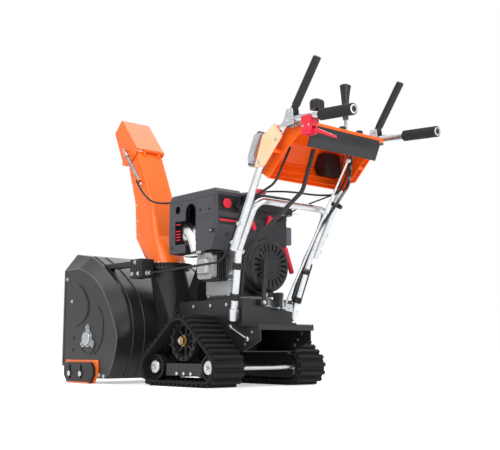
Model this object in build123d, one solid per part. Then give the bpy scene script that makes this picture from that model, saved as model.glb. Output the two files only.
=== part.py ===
from build123d import *
import math
import os

# Tracked two-stage snow blower. +X is the operator's right, +Y the way it drives and +Z up, in mm.
# The tracks and skid shoes stand on z = 0.

# Clearances
RUN = 0.06  # radial, a shaft turning in its bore
AIR = 0.6  # between pieces that move past each other

# Tracks
TRACK_SPREAD = 580
BELT_WIDTH = 150
CARCASS = 9
LUG_HEIGHT = 13
LUG_ROOT = 18
LUG_TIP = 14
LUG_PITCH = 30
LUG_INSET = 5
GUIDE_HEIGHT = 12
GUIDE_WIDTH = 20
SPROCKET_Y = 53
SPROCKET_Z = 175
SPROCKET_R = 79
FRONT_IDLER_Y = 233
REAR_IDLER_Y = -112
IDLER_R = 51
WHEEL_RECESS = 32
AXLE_R = 12
IDLER_PIN_R = 10
HUB_CAP_R = 28.5

# Chassis
TRACK_GAP = 8
SHEET = 4
CHASSIS_REAR = -150
STEP_REAR = -255
STEP_Z = 228
BELLY_Z = 132
DECK_Z = 336
AXLE_TUBE_R = 26

# Auger housing and what turns in it
INTAKE_WIDTH = 716
INTAKE_FRONT = 814
INTAKE_TOP = 570
SIDE_TOP = 493
BEVEL = 61
FLOOR_Z = 22
HOUSING_WALL = 3
AUGER_Y = 598
AUGER_Z = 188
AUGER_R = 148
AUGER_SHAFT_R = 14
FLIGHT_PITCH = 200
FLIGHT_WIDTH = 40
WORM_RISE = 40
WORM_SHAFT_R = 12
DRUM_R = 158
DRUM_REAR = 258
DRUM_WALL = 3
SKID_FRONT = 765
SKID_LENGTH = 243
SKID_HEIGHT = 88

# Chute
CHUTE_X = -128
CHUTE_Y = 345
RING_Z = 487
RING_THICK = 14
RING_TEETH = 40
PINION_TEETH = 10
GEAR_MODULE = 5
CHUTE_FOOT = 164
CHUTE_WIDTH = 130
CHUTE_WALL = 3
HINGE_Y = 484
HINGE_Z = 1020

# Engine
ENGINE_X = 20
CRANK_Z = 470
CRANK_R = 13
RECOIL_R = 106
RECOIL_REAR = -146
SHROUD_REAR = -104
SHROUD_RIGHT = 146
BLOCK_REAR = -56
BLOCK_FRONT = 150
COWL_LEFT = -190
COWL_RIGHT = -71
COWL_REAR = -68
COWL_FRONT = 249
COWL_BOTTOM = 530
COWL_TOP = 768

# Handles and console
LEG_R = 14
FOOT_X = 152
FOOT_Y = -122
FOOT_Z = 262
KNEE_X = 188
KNEE_Y = -196
KNEE_Z = 510
CROSS_Y = -296
CROSS_Z = 690
HANDLE_R = 14
HANDLE_X = 223
GRIP_R = 17
GRIP_START = -668
GRIP_END = -815
GRIP_Z = 922
HOOD_HALF = 200
HOOD_WALL = 3
PADDLE_LENGTH = 212

# Derived places
BELT_OUT = TRACK_SPREAD / 2
BELT_IN = BELT_OUT - BELT_WIDTH
BELT_MID = BELT_OUT - BELT_WIDTH / 2
IDLER_Z = LUG_HEIGHT + CARCASS + IDLER_R
WHEEL_OUT = BELT_OUT - WHEEL_RECESS
WHEEL_IN = BELT_IN + 16
FRAME_IN = BELT_IN + 3
FRAME_OUT = FRAME_IN + 8
CHASSIS_HALF = BELT_IN - TRACK_GAP
HALF_INTAKE = INTAKE_WIDTH / 2
IMPELLER_Z = AUGER_Z + WORM_RISE
IMPELLER_R = DRUM_R - DRUM_WALL - 5
PULLEY_REAR = DRUM_REAR - 42
PULLEY_FRONT = DRUM_REAR - 16
RING_R = RING_TEETH * GEAR_MODULE / 2
CONSOLE_SIDE_X = HANDLE_X + HANDLE_R + 0.5
CLIP_R = LEG_R + 6
ROPE_R = 2.5
LOOM_R = 8
WRAP_R = 6
PINION_R = PINION_TEETH * GEAR_MODULE / 2


def along_x(outline, start, end):
    """Solid of a side-view (Y, Z) outline between two X values."""
    return Pos(start, 0, 0) * extrude(Plane.YZ * outline, end - start)


def along_y(outline, start, end):
    """Solid of a front-view (X, Z) outline between two Y values."""
    return Pos(0, end, 0) * extrude(Plane.XZ * outline, end - start)


def along_z(outline, start, end):
    """Solid of a plan-view (X, Y) outline between two Z values."""
    return Pos(0, 0, start) * extrude(outline, end - start)


def polygon(*points):
    """Flat face with straight sides through the given points."""
    return make_face(Polyline(*points, close=True))


def block(x_range, y_range, z_range):
    """Box between two values on each axis."""
    size = [high - low for low, high in (x_range, y_range, z_range)]
    middle = [(high + low) / 2 for low, high in (x_range, y_range, z_range)]
    return Pos(*middle) * Box(*size)


def rod_x(radius, start, end, y, z):
    return Pos((start + end) / 2, y, z) * Rot(0, 90, 0) * Cylinder(radius, end - start)


def rod_y(radius, start, end, x, z):
    return Pos(x, (start + end) / 2, z) * Rot(90, 0, 0) * Cylinder(radius, end - start)


def rod_z(radius, start, end, x, y):
    return Pos(x, y, (start + end) / 2) * Cylinder(radius, end - start)


def rod(start, end, radius):
    """Round bar between any two points."""
    way = Vector(*end) - Vector(*start)
    foot = Plane(origin=start, z_dir=way)
    return foot * Cylinder(radius, way.length, align=(Align.CENTER, Align.CENTER, Align.MIN))


def pipe(points, bends, radius, bore=0):
    """Round bar or tube along straight runs joined by arcs."""
    path = FilletPolyline(*points, radius=bends)
    start = Plane(origin=path @ 0, z_dir=path % 0)
    bar = sweep(start * Circle(radius), path=path)
    if bore:
        bar = bar - sweep(start * Circle(bore), path=path)
    return bar


def group(*shapes):
    """One node of several separate solids."""
    return Compound(children=[solid for shape in shapes for solid in shape.solids()])


def left(shape):
    """The same piece on the operator's left."""
    return mirror(shape, about=Plane.YZ)


def both_sides(*shapes):
    """One node of the given pieces and their copies on the left."""
    return group(*shapes, *[left(shape) for shape in shapes])


def hex_head(height, across, place):
    """Hexagon bolt head standing on a plane."""
    return place * extrude(RegularPolygon(across / 2, 6, major_radius=False), height)


# Loops round wheels: each wheel is (across, up, radius), listed anticlockwise.
TRACK_WHEELS = [
    (REAR_IDLER_Y, IDLER_Z, IDLER_R),
    (FRONT_IDLER_Y, IDLER_Z, IDLER_R),
    (SPROCKET_Y, SPROCKET_Z, SPROCKET_R),
]


def run_normals(wheels):
    """Outward normal of each straight run, from one wheel to the next."""
    normals = []
    for (ay, az, ar), (by, bz, br) in zip(wheels, wheels[1:] + wheels[:1]):
        span = math.hypot(by - ay, bz - az)
        dy, dz = (by - ay) / span, (bz - az) / span
        lean = (ar - br) / span
        across = math.sqrt(1 - lean * lean)
        normals.append((across * dz + lean * dy, lean * dz - across * dy))
    return normals


def turn_of(before, after):
    """Start angle and swept angle of the arc on a wheel, anticlockwise."""
    start = math.atan2(before[1], before[0])
    return start, (math.atan2(after[1], after[0]) - start) % (2 * math.pi)


def loop_face(wheels, offset):
    """Face inside a loop that lies the given distance outside its wheels."""
    normals = run_normals(wheels)
    starts, middles, ends = [], [], []
    for i, (y, z, r) in enumerate(wheels):
        angle, sweep_angle = turn_of(normals[i - 1], normals[i])
        for share, points in ((0, starts), (0.5, middles), (1, ends)):
            at = angle + share * sweep_angle
            points.append((y + (r + offset) * math.cos(at), z + (r + offset) * math.sin(at)))
    curves = []
    for i in range(len(wheels)):
        curves.append(ThreePointArc(starts[i], middles[i], ends[i]))
        curves.append(Line(ends[i], starts[(i + 1) % len(wheels)]))
    return make_face(curves)


def loop_stations(wheels, offset, pitch):
    """Evenly spaced (y, z, outward angle) stations round a loop, near the given pitch."""
    normals = run_normals(wheels)
    pieces = []
    for i, (y, z, r) in enumerate(wheels):
        angle, swept = turn_of(normals[i - 1], normals[i])
        pieces.append(("arc", swept * (r + offset), (y, z, r + offset, angle, swept)))
        ny, nz = normals[i]
        after_y, after_z, after_r = wheels[(i + 1) % len(wheels)]
        start = (y + (r + offset) * ny, z + (r + offset) * nz)
        end = (after_y + (after_r + offset) * ny, after_z + (after_r + offset) * nz)
        pieces.append(("run", math.dist(start, end), (start, end, math.atan2(nz, ny))))
    total = sum(length for _, length, _ in pieces)
    count = round(total / pitch)
    stations = []
    for step in range(count):
        along = total * (step + 0.5) / count
        for kind, length, data in pieces:
            if along <= length:
                break
            along -= length
        share = along / length
        if kind == "arc":
            y, z, radius, angle, swept = data
            at = angle + share * swept
            stations.append((y + radius * math.cos(at), z + radius * math.sin(at), at))
        else:
            start, end, at = data
            y = start[0] + share * (end[0] - start[0])
            z = start[1] + share * (end[1] - start[1])
            stations.append((y, z, at))
    return stations


def lug_face(station, low, high, root, tip):
    """Trapezium standing on a loop, from low to high along the outward direction."""
    y, z, angle = station
    ny, nz = math.cos(angle), math.sin(angle)
    corners = []
    for out, half in ((low, -root / 2), (low, root / 2), (high, tip / 2), (high, -tip / 2)):
        corners.append((y + out * ny - half * nz, z + out * nz + half * ny))
    return polygon(*corners)


def track_belt():
    """Moulded rubber belt with cross lugs outside and a row of guide lugs inside."""
    ring = loop_face(TRACK_WHEELS, CARCASS) - loop_face(TRACK_WHEELS, 0)
    belt = along_x(ring, BELT_IN, BELT_OUT)
    stations = loop_stations(TRACK_WHEELS, CARCASS, LUG_PITCH)
    half_guide = GUIDE_WIDTH / 2
    lugs = []
    for station in stations:
        outside = lug_face(station, -2, LUG_HEIGHT, LUG_ROOT, LUG_TIP)
        inside = lug_face(station, 2 - CARCASS, -CARCASS - GUIDE_HEIGHT, LUG_TIP, LUG_TIP / 2)
        lugs.append(along_x(outside, BELT_IN + LUG_INSET, BELT_OUT - LUG_INSET))
        lugs.append(along_x(inside, BELT_MID - half_guide, BELT_MID + half_guide))
    return belt + lugs


def guide_groove(radius, y, z):
    """Ring cut from a wheel so that the belt's guide lugs run clear of it."""
    half = GUIDE_WIDTH / 2 + 4
    depth = GUIDE_HEIGHT + 5
    outer = rod_x(radius + 1, BELT_MID - half, BELT_MID + half, y, z)
    return outer - rod_x(radius - depth, BELT_MID - half, BELT_MID + half, y, z)


def sprocket():
    """Drive wheel with its half axle, roller studs round the rim and a hub nut."""
    radius = SPROCKET_R - AIR
    rim = 16
    studs = 14
    spokes = 8
    wheel = rod_x(radius, WHEEL_IN, WHEEL_OUT, SPROCKET_Y, SPROCKET_Z)
    wheel -= guide_groove(radius, SPROCKET_Y, SPROCKET_Z)
    dish = rod_x(radius - rim, WHEEL_OUT - 12, WHEEL_OUT, SPROCKET_Y, SPROCKET_Z)
    wheel -= dish - rod_x(22, WHEEL_OUT - 12, WHEEL_OUT, SPROCKET_Y, SPROCKET_Z)
    windows = Circle(radius - rim - 4) - Circle(27)
    for i in range(spokes):
        windows -= Rot(0, 0, 360 * i / spokes) * Pos(SPROCKET_R / 2, 0) * Rectangle(SPROCKET_R, 10)
    wheel -= along_x(Pos(SPROCKET_Y, SPROCKET_Z) * windows, WHEEL_OUT - 34, WHEEL_OUT)
    for i in range(studs):
        angle = 2 * math.pi * (i + 0.5) / studs
        y = SPROCKET_Y + (radius - rim / 2) * math.cos(angle)
        z = SPROCKET_Z + (radius - rim / 2) * math.sin(angle)
        wheel += rod_x(6, WHEEL_OUT - 2, WHEEL_OUT + 7, y, z)
    wheel += rod_x(AXLE_R, CHASSIS_HALF - 42, WHEEL_IN, SPROCKET_Y, SPROCKET_Z)
    face = Plane(origin=(WHEEL_OUT, SPROCKET_Y, SPROCKET_Z), z_dir=(1, 0, 0))
    nut = hex_head(13, 30, face)
    return group(wheel, nut)


def idler(y):
    """Guide wheel with a domed cap over its bearing."""
    radius = IDLER_R - AIR
    wheel = rod_x(radius, WHEEL_IN, WHEEL_OUT, y, IDLER_Z)
    wheel -= guide_groove(radius, y, IDLER_Z)
    wheel -= rod_x(IDLER_PIN_R + RUN, WHEEL_IN, WHEEL_OUT, y, IDLER_Z)
    dish = rod_x(radius - 7, WHEEL_OUT - 8, WHEEL_OUT, y, IDLER_Z)
    wheel -= dish - rod_x(HUB_CAP_R + 1, WHEEL_OUT - 8, WHEEL_OUT, y, IDLER_Z)
    cap = rod_x(HUB_CAP_R, WHEEL_OUT, WHEEL_OUT + 9, y, IDLER_Z)
    outer_rim = cap.edges().group_by(Axis.X)[-1]
    cap = fillet(outer_rim, 7)
    return group(wheel, cap)


def track_frame():
    """Side plate, idler pins and lower beam of one track."""
    plate_wheels = [
        (REAR_IDLER_Y, IDLER_Z, IDLER_R - 7),
        (FRONT_IDLER_Y, IDLER_Z, IDLER_R - 15),
        (SPROCKET_Y, SPROCKET_Z, AXLE_TUBE_R + 14),
    ]
    frame = along_x(loop_face(plate_wheels, 0), FRAME_IN, FRAME_OUT)
    beam_low = LUG_HEIGHT + CARCASS + GUIDE_HEIGHT + 6
    beam_high = SPROCKET_Z - SPROCKET_R - 8
    beam_rear = REAR_IDLER_Y + IDLER_R + 8
    beam_front = FRONT_IDLER_Y - IDLER_R - 8
    beam_out = WHEEL_OUT - 8
    frame += block((FRAME_IN, beam_out), (beam_rear, beam_front), (beam_low, beam_high))
    for y in (FRONT_IDLER_Y, REAR_IDLER_Y):
        frame += rod_x(IDLER_PIN_R, FRAME_IN, WHEEL_OUT - 6, y, IDLER_Z)
    frame -= rod_x(AXLE_TUBE_R + RUN, FRAME_IN, FRAME_OUT, SPROCKET_Y, SPROCKET_Z)
    bolts = []
    for i in range(3):
        y = SPROCKET_Y + 45 * (i - 1)
        face = Plane(origin=(beam_out, y, beam_low + 9), z_dir=(1, 0, 0))
        bolts.append(hex_head(6, 13, face))
    return group(frame, *bolts)


def cross_shaft():
    """Bright bar that ties the two track frames together behind the chassis."""
    return rod_x(9, -FRAME_IN, FRAME_IN, REAR_IDLER_Y - 26, IDLER_Z)


def track_frames():
    """Both track frames and the cross shaft that ties them together."""
    return group(track_frame(), left(track_frame()), cross_shaft())


LEG_WAY = Vector(KNEE_X - FOOT_X, KNEE_Y - FOOT_Y, KNEE_Z - FOOT_Z).normalized()
SOCKET_R = LEG_R + 5


def leg_point(distance):
    """Point on the right leg's axis, measured up from its foot."""
    return tuple(Vector(FOOT_X, FOOT_Y, FOOT_Z) + LEG_WAY * distance)


def leg_socket():
    """Cup on the chassis side that holds the foot of a handle leg."""
    cup = rod(leg_point(-10), leg_point(34), SOCKET_R)
    cup += block((CHASSIS_HALF - SHEET, FOOT_X), (FOOT_Y - 18, FOOT_Y + 8), (FOOT_Z - 8, FOOT_Z + 28))
    return cup - rod(leg_point(0), leg_point(60), LEG_R)


SHIFT_X = 50
SHIFT_PIVOT_Z = 352
SHIFT_Y = CHASSIS_REAR - 27
SHIFT_ARM = 50
PIN_R = 4


def chassis_frame():
    """Welded box with the engine deck, rear step, axle tubes, leg sockets and shift-arm lug."""
    outline = polygon(
        (DRUM_REAR, DECK_Z),
        (CHASSIS_REAR, DECK_Z),
        (CHASSIS_REAR, STEP_Z),
        (STEP_REAR, STEP_Z),
        (STEP_REAR, STEP_Z - 54),
        (CHASSIS_REAR - 3, BELLY_Z),
        (180, BELLY_Z),
        (DRUM_REAR, BELLY_Z + 40),
    )
    inside = CHASSIS_HALF - SHEET
    frame = along_x(outline, inside, CHASSIS_HALF)
    frame += along_x(outline, -CHASSIS_HALF, -inside)
    width = (-inside, inside)
    frame += block(width, (CHASSIS_REAR, PULLEY_REAR - 16), (DECK_Z - SHEET, DECK_Z))
    frame += block(width, (CHASSIS_REAR, CHASSIS_REAR + SHEET), (STEP_Z, DECK_Z))
    frame += block(width, (CHASSIS_REAR, 180), (BELLY_Z, BELLY_Z + SHEET))
    lip = CHASSIS_HALF + 11
    frame += block((-lip, lip), (STEP_REAR - SHEET, CHASSIS_REAR + SHEET), (STEP_Z, STEP_Z + SHEET))
    frame += block((-lip, lip), (STEP_REAR - SHEET, STEP_REAR), (STEP_Z - 14, STEP_Z + SHEET))
    socket = leg_socket()
    tube = rod_x(AXLE_TUBE_R, inside, FRAME_OUT + 2, SPROCKET_Y, SPROCKET_Z)
    frame += [socket, left(socket), tube, left(tube)]
    bore = AXLE_R + 1
    frame -= rod_x(bore, -FRAME_OUT - 2, FRAME_OUT + 2, SPROCKET_Y, SPROCKET_Z)
    lug_height = (DECK_Z - 30, SHIFT_PIVOT_Z + 10)
    lug = block((SHIFT_X - 22, SHIFT_X - 6), (SHIFT_Y - 10, CHASSIS_REAR), lug_height)
    frame += lug
    frame += rod_x(PIN_R, SHIFT_X - 8, SHIFT_X + 7, SHIFT_Y, SHIFT_PIVOT_Z)
    lift_height = (LIFT_Z - 25, LIFT_Z + 12)
    lift_lug = block((CHASSIS_HALF - 1, LIFT_X - 8), (LIFT_Y - 12, LIFT_Y + 12), lift_height)
    frame += lift_lug
    frame += rod_x(PIN_R, LIFT_X - 9, LIFT_X + 9, LIFT_Y, LIFT_Z)
    return frame


LIFT_X = 219
LIFT_Y = -77
LIFT_Z = 294


def lift_lever():
    """Track-height lever with a soft grip, beside the right leg."""
    eye = rod_x(11, LIFT_X - 7, LIFT_X + 7, LIFT_Y, LIFT_Z)
    lean = Vector(0, -92, 196).normalized()
    pivot = Vector(LIFT_X, LIFT_Y, LIFT_Z)
    shank = rod(tuple(pivot), tuple(pivot + lean * 60), 6)
    lever = (eye + shank) - rod_x(PIN_R + RUN, LIFT_X - 8, LIFT_X + 8, LIFT_Y, LIFT_Z)
    grip = rod(tuple(pivot + lean * 60), tuple(pivot + lean * 214), 11)
    return group(lever, fillet(grip.edges(), 4))


def shift_arm():
    """Crank on the chassis that the selector rod swings."""
    low = SHIFT_PIVOT_Z - SHIFT_ARM
    arm = rod_x(11, SHIFT_X - 3, SHIFT_X + 3, SHIFT_Y, SHIFT_PIVOT_Z)
    arm += rod_x(9, SHIFT_X - 3, SHIFT_X + 3, SHIFT_Y, low)
    arm += block((SHIFT_X - 3, SHIFT_X + 3), (SHIFT_Y - 8, SHIFT_Y + 8), (low, SHIFT_PIVOT_Z))
    arm += rod_x(PIN_R, SHIFT_X - 3, SHIFT_X + 16, SHIFT_Y, low)
    return arm - rod_x(PIN_R + RUN, SHIFT_X - 4, SHIFT_X + 4, SHIFT_Y, SHIFT_PIVOT_Z)


GEAR_X = SHIFT_X
GEAR_Y = -530
GEAR_PIVOT_Z = 888


def gear_lever():
    """Speed lever: crank below its pivot, stem through the hood and a shaped knob."""
    low = GEAR_PIVOT_Z - SHIFT_ARM
    lever = rod_x(12, GEAR_X - 4, GEAR_X + 3, GEAR_Y, GEAR_PIVOT_Z)
    lever += rod_x(9, GEAR_X - 4, GEAR_X + 3, GEAR_Y, low)
    lever += block((GEAR_X - 4, GEAR_X + 3), (GEAR_Y - 8, GEAR_Y + 8), (low, GEAR_PIVOT_Z))
    lever += rod_x(PIN_R, GEAR_X - 4, GEAR_X + 16, GEAR_Y, low)
    lever += rod_z(6, GEAR_PIVOT_Z, 1040, GEAR_X, GEAR_Y)
    lever -= rod_x(PIN_R + RUN, GEAR_X - 8, GEAR_X + 8, GEAR_Y, GEAR_PIVOT_Z)
    foot = Pos(GEAR_X, GEAR_Y, 1037) * RectangleRounded(24, 22, 8)
    waist = Pos(GEAR_X, GEAR_Y, 1085) * RectangleRounded(34, 28, 12)
    crown = Pos(GEAR_X, GEAR_Y - 2, 1124) * RectangleRounded(46, 36, 15)
    knob = loft([foot, waist, crown])
    knob = fillet(knob.edges().group_by(Axis.Z)[-1], 6)
    collar = rod_z(11, 990, 1036, GEAR_X, GEAR_Y) - rod_z(6, 989, 1037, GEAR_X, GEAR_Y)
    return group(lever, knob - rod_z(6, 1030, 1040, GEAR_X, GEAR_Y), collar)


def selector_rod():
    """Straight rod with two eyes, from the gear lever's crank to the shift arm."""
    top = (GEAR_X + 10, GEAR_Y, GEAR_PIVOT_Z - SHIFT_ARM)
    low = (SHIFT_X + 10, SHIFT_Y, SHIFT_PIVOT_Z - SHIFT_ARM)
    bar = rod(top, low, 4.5)
    for x, y, z in (top, low):
        bar += rod_x(10, x - 5, x + 5, y, z)
    for x, y, z in (top, low):
        bar -= rod_x(PIN_R + RUN, x - 8, x + 8, y, z)
    return bar


def transmission_case():
    """Gear case on the belly plate with a boss for each half axle."""
    case = block((-74, 74), (SPROCKET_Y - 58, SPROCKET_Y + 58), (BELLY_Z + SHEET, 246))
    case = fillet(case.edges().filter_by(Axis.Y), 12)
    boss = rod_x(24, 70, CHASSIS_HALF - SHEET - 2, SPROCKET_Y, SPROCKET_Z)
    case += [boss, left(boss)]
    hole = rod_x(AXLE_R + RUN, CHASSIS_HALF - 44, CHASSIS_HALF, SPROCKET_Y, SPROCKET_Z)
    return case - [hole, left(hole)]


def housing_section(inset, bevelled):
    """Side-view outline of the auger housing, full in the middle or bevelled at its ends."""
    front = INTAKE_FRONT
    top = (SIDE_TOP if bevelled else INTAKE_TOP) - inset
    drop = 0 if bevelled else 20
    shoulder = (690, top - drop)
    if bevelled:
        upper, hip, rear = (585, 455 - inset), (494 + inset, 391 - inset), (424 + inset, 300)
    else:
        upper, hip, rear = (595, 503 - inset), (480 + inset, 424 - inset), (394 + inset, 318)
    back = (370 + inset, 190)
    low = (390 + inset, 112)
    floor = FLOOR_Z + inset
    heel = (445, floor)
    toe = (764, floor)
    lip = (front, 72)
    curves = [
        Line((front, top), shoulder),
        ThreePointArc(shoulder, upper, hip),
        ThreePointArc(hip, rear, back),
        ThreePointArc(back, low, heel),
        Line(heel, toe),
        RadiusArc(toe, lip, 52 if inset == 0 else 56),
        Line(lip, (front, top)),
    ]
    return make_face(curves)


def housing_body(inset):
    """Solid envelope of the auger housing, drawn in by a wall thickness."""
    half = HALF_INTAKE - inset
    bevel_start = HALF_INTAKE - BEVEL
    middle = along_x(housing_section(inset, False), -bevel_start, bevel_start)
    end = loft(
        [
            Pos(bevel_start, 0, 0) * (Plane.YZ * housing_section(inset, False)),
            Pos(half, 0, 0) * (Plane.YZ * housing_section(inset, True)),
        ],
        ruled=True,
    )
    return middle + [end, left(end)]


def duct(inset):
    """Discharge duct from the drum's left shoulder up to the chute ring."""
    width = DRUM_R - 8 - 2 * inset
    depth = 112 - 2 * inset
    foot = Pos(-DRUM_R + 78, DRUM_REAR + 62, IMPELLER_Z) * RectangleRounded(width, depth, 12 - inset)
    side = CHUTE_FOOT - 8 - 2 * inset
    mouth = Pos(CHUTE_X, CHUTE_Y, RING_Z - AIR) * RectangleRounded(side, side, side / 2 - 0.5)
    return loft([foot, mouth], ruled=True)


def drum_hollow():
    """Space swept by the impeller, open to the auger."""
    return rod_y(DRUM_R - DRUM_WALL, DRUM_REAR + DRUM_WALL, AUGER_Y, 0, IMPELLER_Z)


def auger_housing(envelope):
    """Pressed-steel intake: bevelled side plates and a curved wrap with a mouth for the impeller."""
    shell = envelope - housing_body(HOUSING_WALL)
    inside = HALF_INTAKE - HOUSING_WALL
    shell -= block((-inside, inside), (764, INTAKE_FRONT + 1), (0, 90))
    shell -= drum_hollow()
    shell -= duct(DRUM_WALL)
    for side in (-1, 1):
        plate = side * HALF_INTAKE
        shell -= rod_x(AUGER_SHAFT_R + 4, plate - 8, plate + 8, AUGER_Y, AUGER_Z)
    return shell


def impeller_housing(envelope):
    """Drum and discharge duct welded to the back of the auger housing."""
    drum = rod_y(DRUM_R, DRUM_REAR, AUGER_Y - 120, 0, IMPELLER_Z)
    flange = rod_z(CHUTE_FOOT / 2 + 14, RING_Z - 12, RING_Z - AIR, CHUTE_X, CHUTE_Y)
    shell = drum + duct(0) + flange
    shell -= drum_hollow()
    shell -= duct(DRUM_WALL)
    shell -= envelope
    shell -= rod_y(WORM_SHAFT_R + RUN, DRUM_REAR - 5, DRUM_REAR + 5, 0, IMPELLER_Z)
    return max(shell.solids(), key=lambda solid: solid.volume)


def scraper_bar():
    """Wear bar bolted under the intake's lower lip."""
    return block((-HALF_INTAKE + 30, HALF_INTAKE - 30), (700, 762), (FLOOR_Z - 6, FLOOR_Z))


def bearing_flange():
    """Pressed cover with three bolts over the right end of the auger shaft."""
    bolt_ring = 46
    lobe_r = 14
    outline = Circle(36)
    for i in range(3):
        lobe = Pos(bolt_ring, 0) * Circle(lobe_r) + Pos(bolt_ring / 2, 0) * Rectangle(bolt_ring, 2 * lobe_r)
        outline += Rot(0, 0, 90 + 120 * i) * lobe
    flange = along_x(Pos(AUGER_Y, AUGER_Z) * outline, 0, 4)
    boss = rod_x(30, 0, 16, AUGER_Y, AUGER_Z)
    flange += fillet(boss.edges().group_by(Axis.X)[-1], 6)
    flange -= rod_x(AUGER_SHAFT_R + RUN, -1, 10, AUGER_Y, AUGER_Z)
    for i in range(3):
        angle = math.pi / 2 + 2 * math.pi * i / 3
        y = AUGER_Y + bolt_ring * math.cos(angle)
        z = AUGER_Z + bolt_ring * math.sin(angle)
        flange += hex_head(6, 13, Plane(origin=(4, y, z), z_dir=(1, 0, 0)))
    return Pos(HALF_INTAKE, 0, 0) * flange


GEARBOX_HALF = 46


def auger_gearbox():
    """Worm gear case on the middle of the auger shaft."""
    case = rod_x(50, -GEARBOX_HALF, GEARBOX_HALF, AUGER_Y, AUGER_Z)
    case += rod_y(32, AUGER_Y - 100, AUGER_Y + 56, 0, IMPELLER_Z)
    case -= rod_x(42, -GEARBOX_HALF + 8, GEARBOX_HALF - 8, AUGER_Y, AUGER_Z)
    case -= rod_y(24, AUGER_Y - 88, AUGER_Y + 46, 0, IMPELLER_Z)
    case -= rod_x(AUGER_SHAFT_R + RUN, -GEARBOX_HALF - 1, GEARBOX_HALF + 1, AUGER_Y, AUGER_Z)
    case -= rod_y(WORM_SHAFT_R + RUN, AUGER_Y - 101, AUGER_Y - 80, 0, IMPELLER_Z)
    return case


def auger_shaft():
    """Shaft across the intake with the worm wheel at its middle."""
    end = HALF_INTAKE + 9
    shaft = rod_x(AUGER_SHAFT_R, -end, end, AUGER_Y, AUGER_Z)
    wheel_r = WORM_RISE - 11
    return shaft + rod_x(wheel_r, -14, 14, AUGER_Y, AUGER_Z)


def auger_flight():
    """Ribbon screw on a sleeve, for the right half of the intake."""
    start = GEARBOX_HALF + 16
    end = HALF_INTAKE - HOUSING_WALL - 12
    length = end - start - 8
    ribbon_mid = AUGER_R - FLIGHT_WIDTH / 2
    helix = Helix(FLIGHT_PITCH, length, ribbon_mid, center=(0, 0, 4))
    section = Plane(origin=helix @ 0, x_dir=(1, 0, 0), z_dir=helix % 0)
    flight = sweep(section * Rectangle(FLIGHT_WIDTH, 6), path=helix, is_frenet=True)
    flight += Cylinder(AUGER_SHAFT_R + 5, end - start, align=(Align.CENTER, Align.CENTER, Align.MIN))
    arms = 5
    for i in range(arms):
        share = (i + 0.5) / arms
        foot = helix @ share
        flight += rod((0, 0, foot.Z), tuple(foot), 8)
    flight -= Cylinder(AUGER_SHAFT_R, end, align=(Align.CENTER, Align.CENTER, Align.MIN))
    return Pos(start, AUGER_Y, AUGER_Z) * Rot(0, 90, 0) * flight


def impeller_fan():
    """Fan with four blades that throws snow up the duct."""
    rear = DRUM_REAR + DRUM_WALL + 5
    front = rear + 84
    fan = rod_y(28, rear, front, 0, IMPELLER_Z) + rod_y(112, rear, rear + 5, 0, IMPELLER_Z)
    for i in range(4):
        blade = block((10, IMPELLER_R), (rear, front), (-3, 3))
        tip = block((IMPELLER_R - 26, IMPELLER_R - 4), (rear, front), (-3, 12))
        fan += Pos(0, 0, IMPELLER_Z) * Rot(0, 90 * i, 0) * (blade + tip)
    return fan - rod_y(WORM_SHAFT_R, rear - 1, front + 1, 0, IMPELLER_Z)


def grooved_pulley(radius, x, z):
    """Pulley with one deep groove for the drive belt."""
    wheel = rod_y(radius, PULLEY_REAR, PULLEY_FRONT, x, z)
    ring = rod_y(radius + 1, PULLEY_REAR + 5, PULLEY_FRONT - 5, x, z)
    return wheel - (ring - rod_y(radius - 11, PULLEY_REAR + 5, PULLEY_FRONT - 5, x, z))


FAN_PULLEY_R = 96
CRANK_PULLEY_R = 40


def impeller_shaft():
    """Shaft from the drive pulley through the impeller to the worm."""
    shaft = rod_y(WORM_SHAFT_R, PULLEY_REAR, AUGER_Y - 26, 0, IMPELLER_Z)
    shaft += rod_y(10, AUGER_Y - 26, AUGER_Y + 26, 0, IMPELLER_Z)
    return shaft + grooved_pulley(FAN_PULLEY_R, 0, IMPELLER_Z)


def crankshaft():
    """Engine shaft with flywheel behind and drive pulley in front."""
    shaft = rod_y(CRANK_R, SHROUD_REAR + 16, PULLEY_FRONT, ENGINE_X, CRANK_Z)
    shaft += rod_y(86, SHROUD_REAR + 16, BLOCK_REAR - 8, ENGINE_X, CRANK_Z)
    return shaft + grooved_pulley(CRANK_PULLEY_R, ENGINE_X, CRANK_Z)


def drive_belt():
    """Vee belt from the crankshaft pulley down to the impeller pulley."""
    wheels = [(0, IMPELLER_Z, FAN_PULLEY_R - 11 + AIR), (ENGINE_X, CRANK_Z, CRANK_PULLEY_R - 11 + AIR)]
    ring = loop_face(wheels, 9) - loop_face(wheels, 0)
    return along_y(ring, PULLEY_REAR + 5 + AIR, PULLEY_FRONT - 5 - AIR)


def belt_cover_outline(inset):
    """Rear-view outline of the belt cover: wide at the deck, drawn in round the upper pulley."""
    low = DECK_Z - (1 if inset else 0)
    top = CRANK_Z + CRANK_PULLEY_R + 12 - inset
    side = CRANK_PULLEY_R + 14 - inset
    foot = FAN_PULLEY_R + 4 - inset
    shoulder = DECK_Z + 56
    return polygon(
        (ENGINE_X - foot, low),
        (ENGINE_X - foot, shoulder),
        (ENGINE_X - side, top - 24),
        (ENGINE_X - side + 24, top),
        (ENGINE_X + side - 24, top),
        (ENGINE_X + side, top - 24),
        (ENGINE_X + side + 22, shoulder),
        (ENGINE_X + side + 22, low),
    )


def belt_cover():
    """Box over the upper part of the drive belt, in front of the engine."""
    rear = PULLEY_REAR - 15
    outer = along_y(belt_cover_outline(0), rear, DRUM_REAR)
    inner = along_y(belt_cover_outline(4), rear + 4, DRUM_REAR - 4)
    return outer - inner - rod_y(CRANK_R + 3, rear - 1, rear + 5, ENGINE_X, CRANK_Z)


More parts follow.
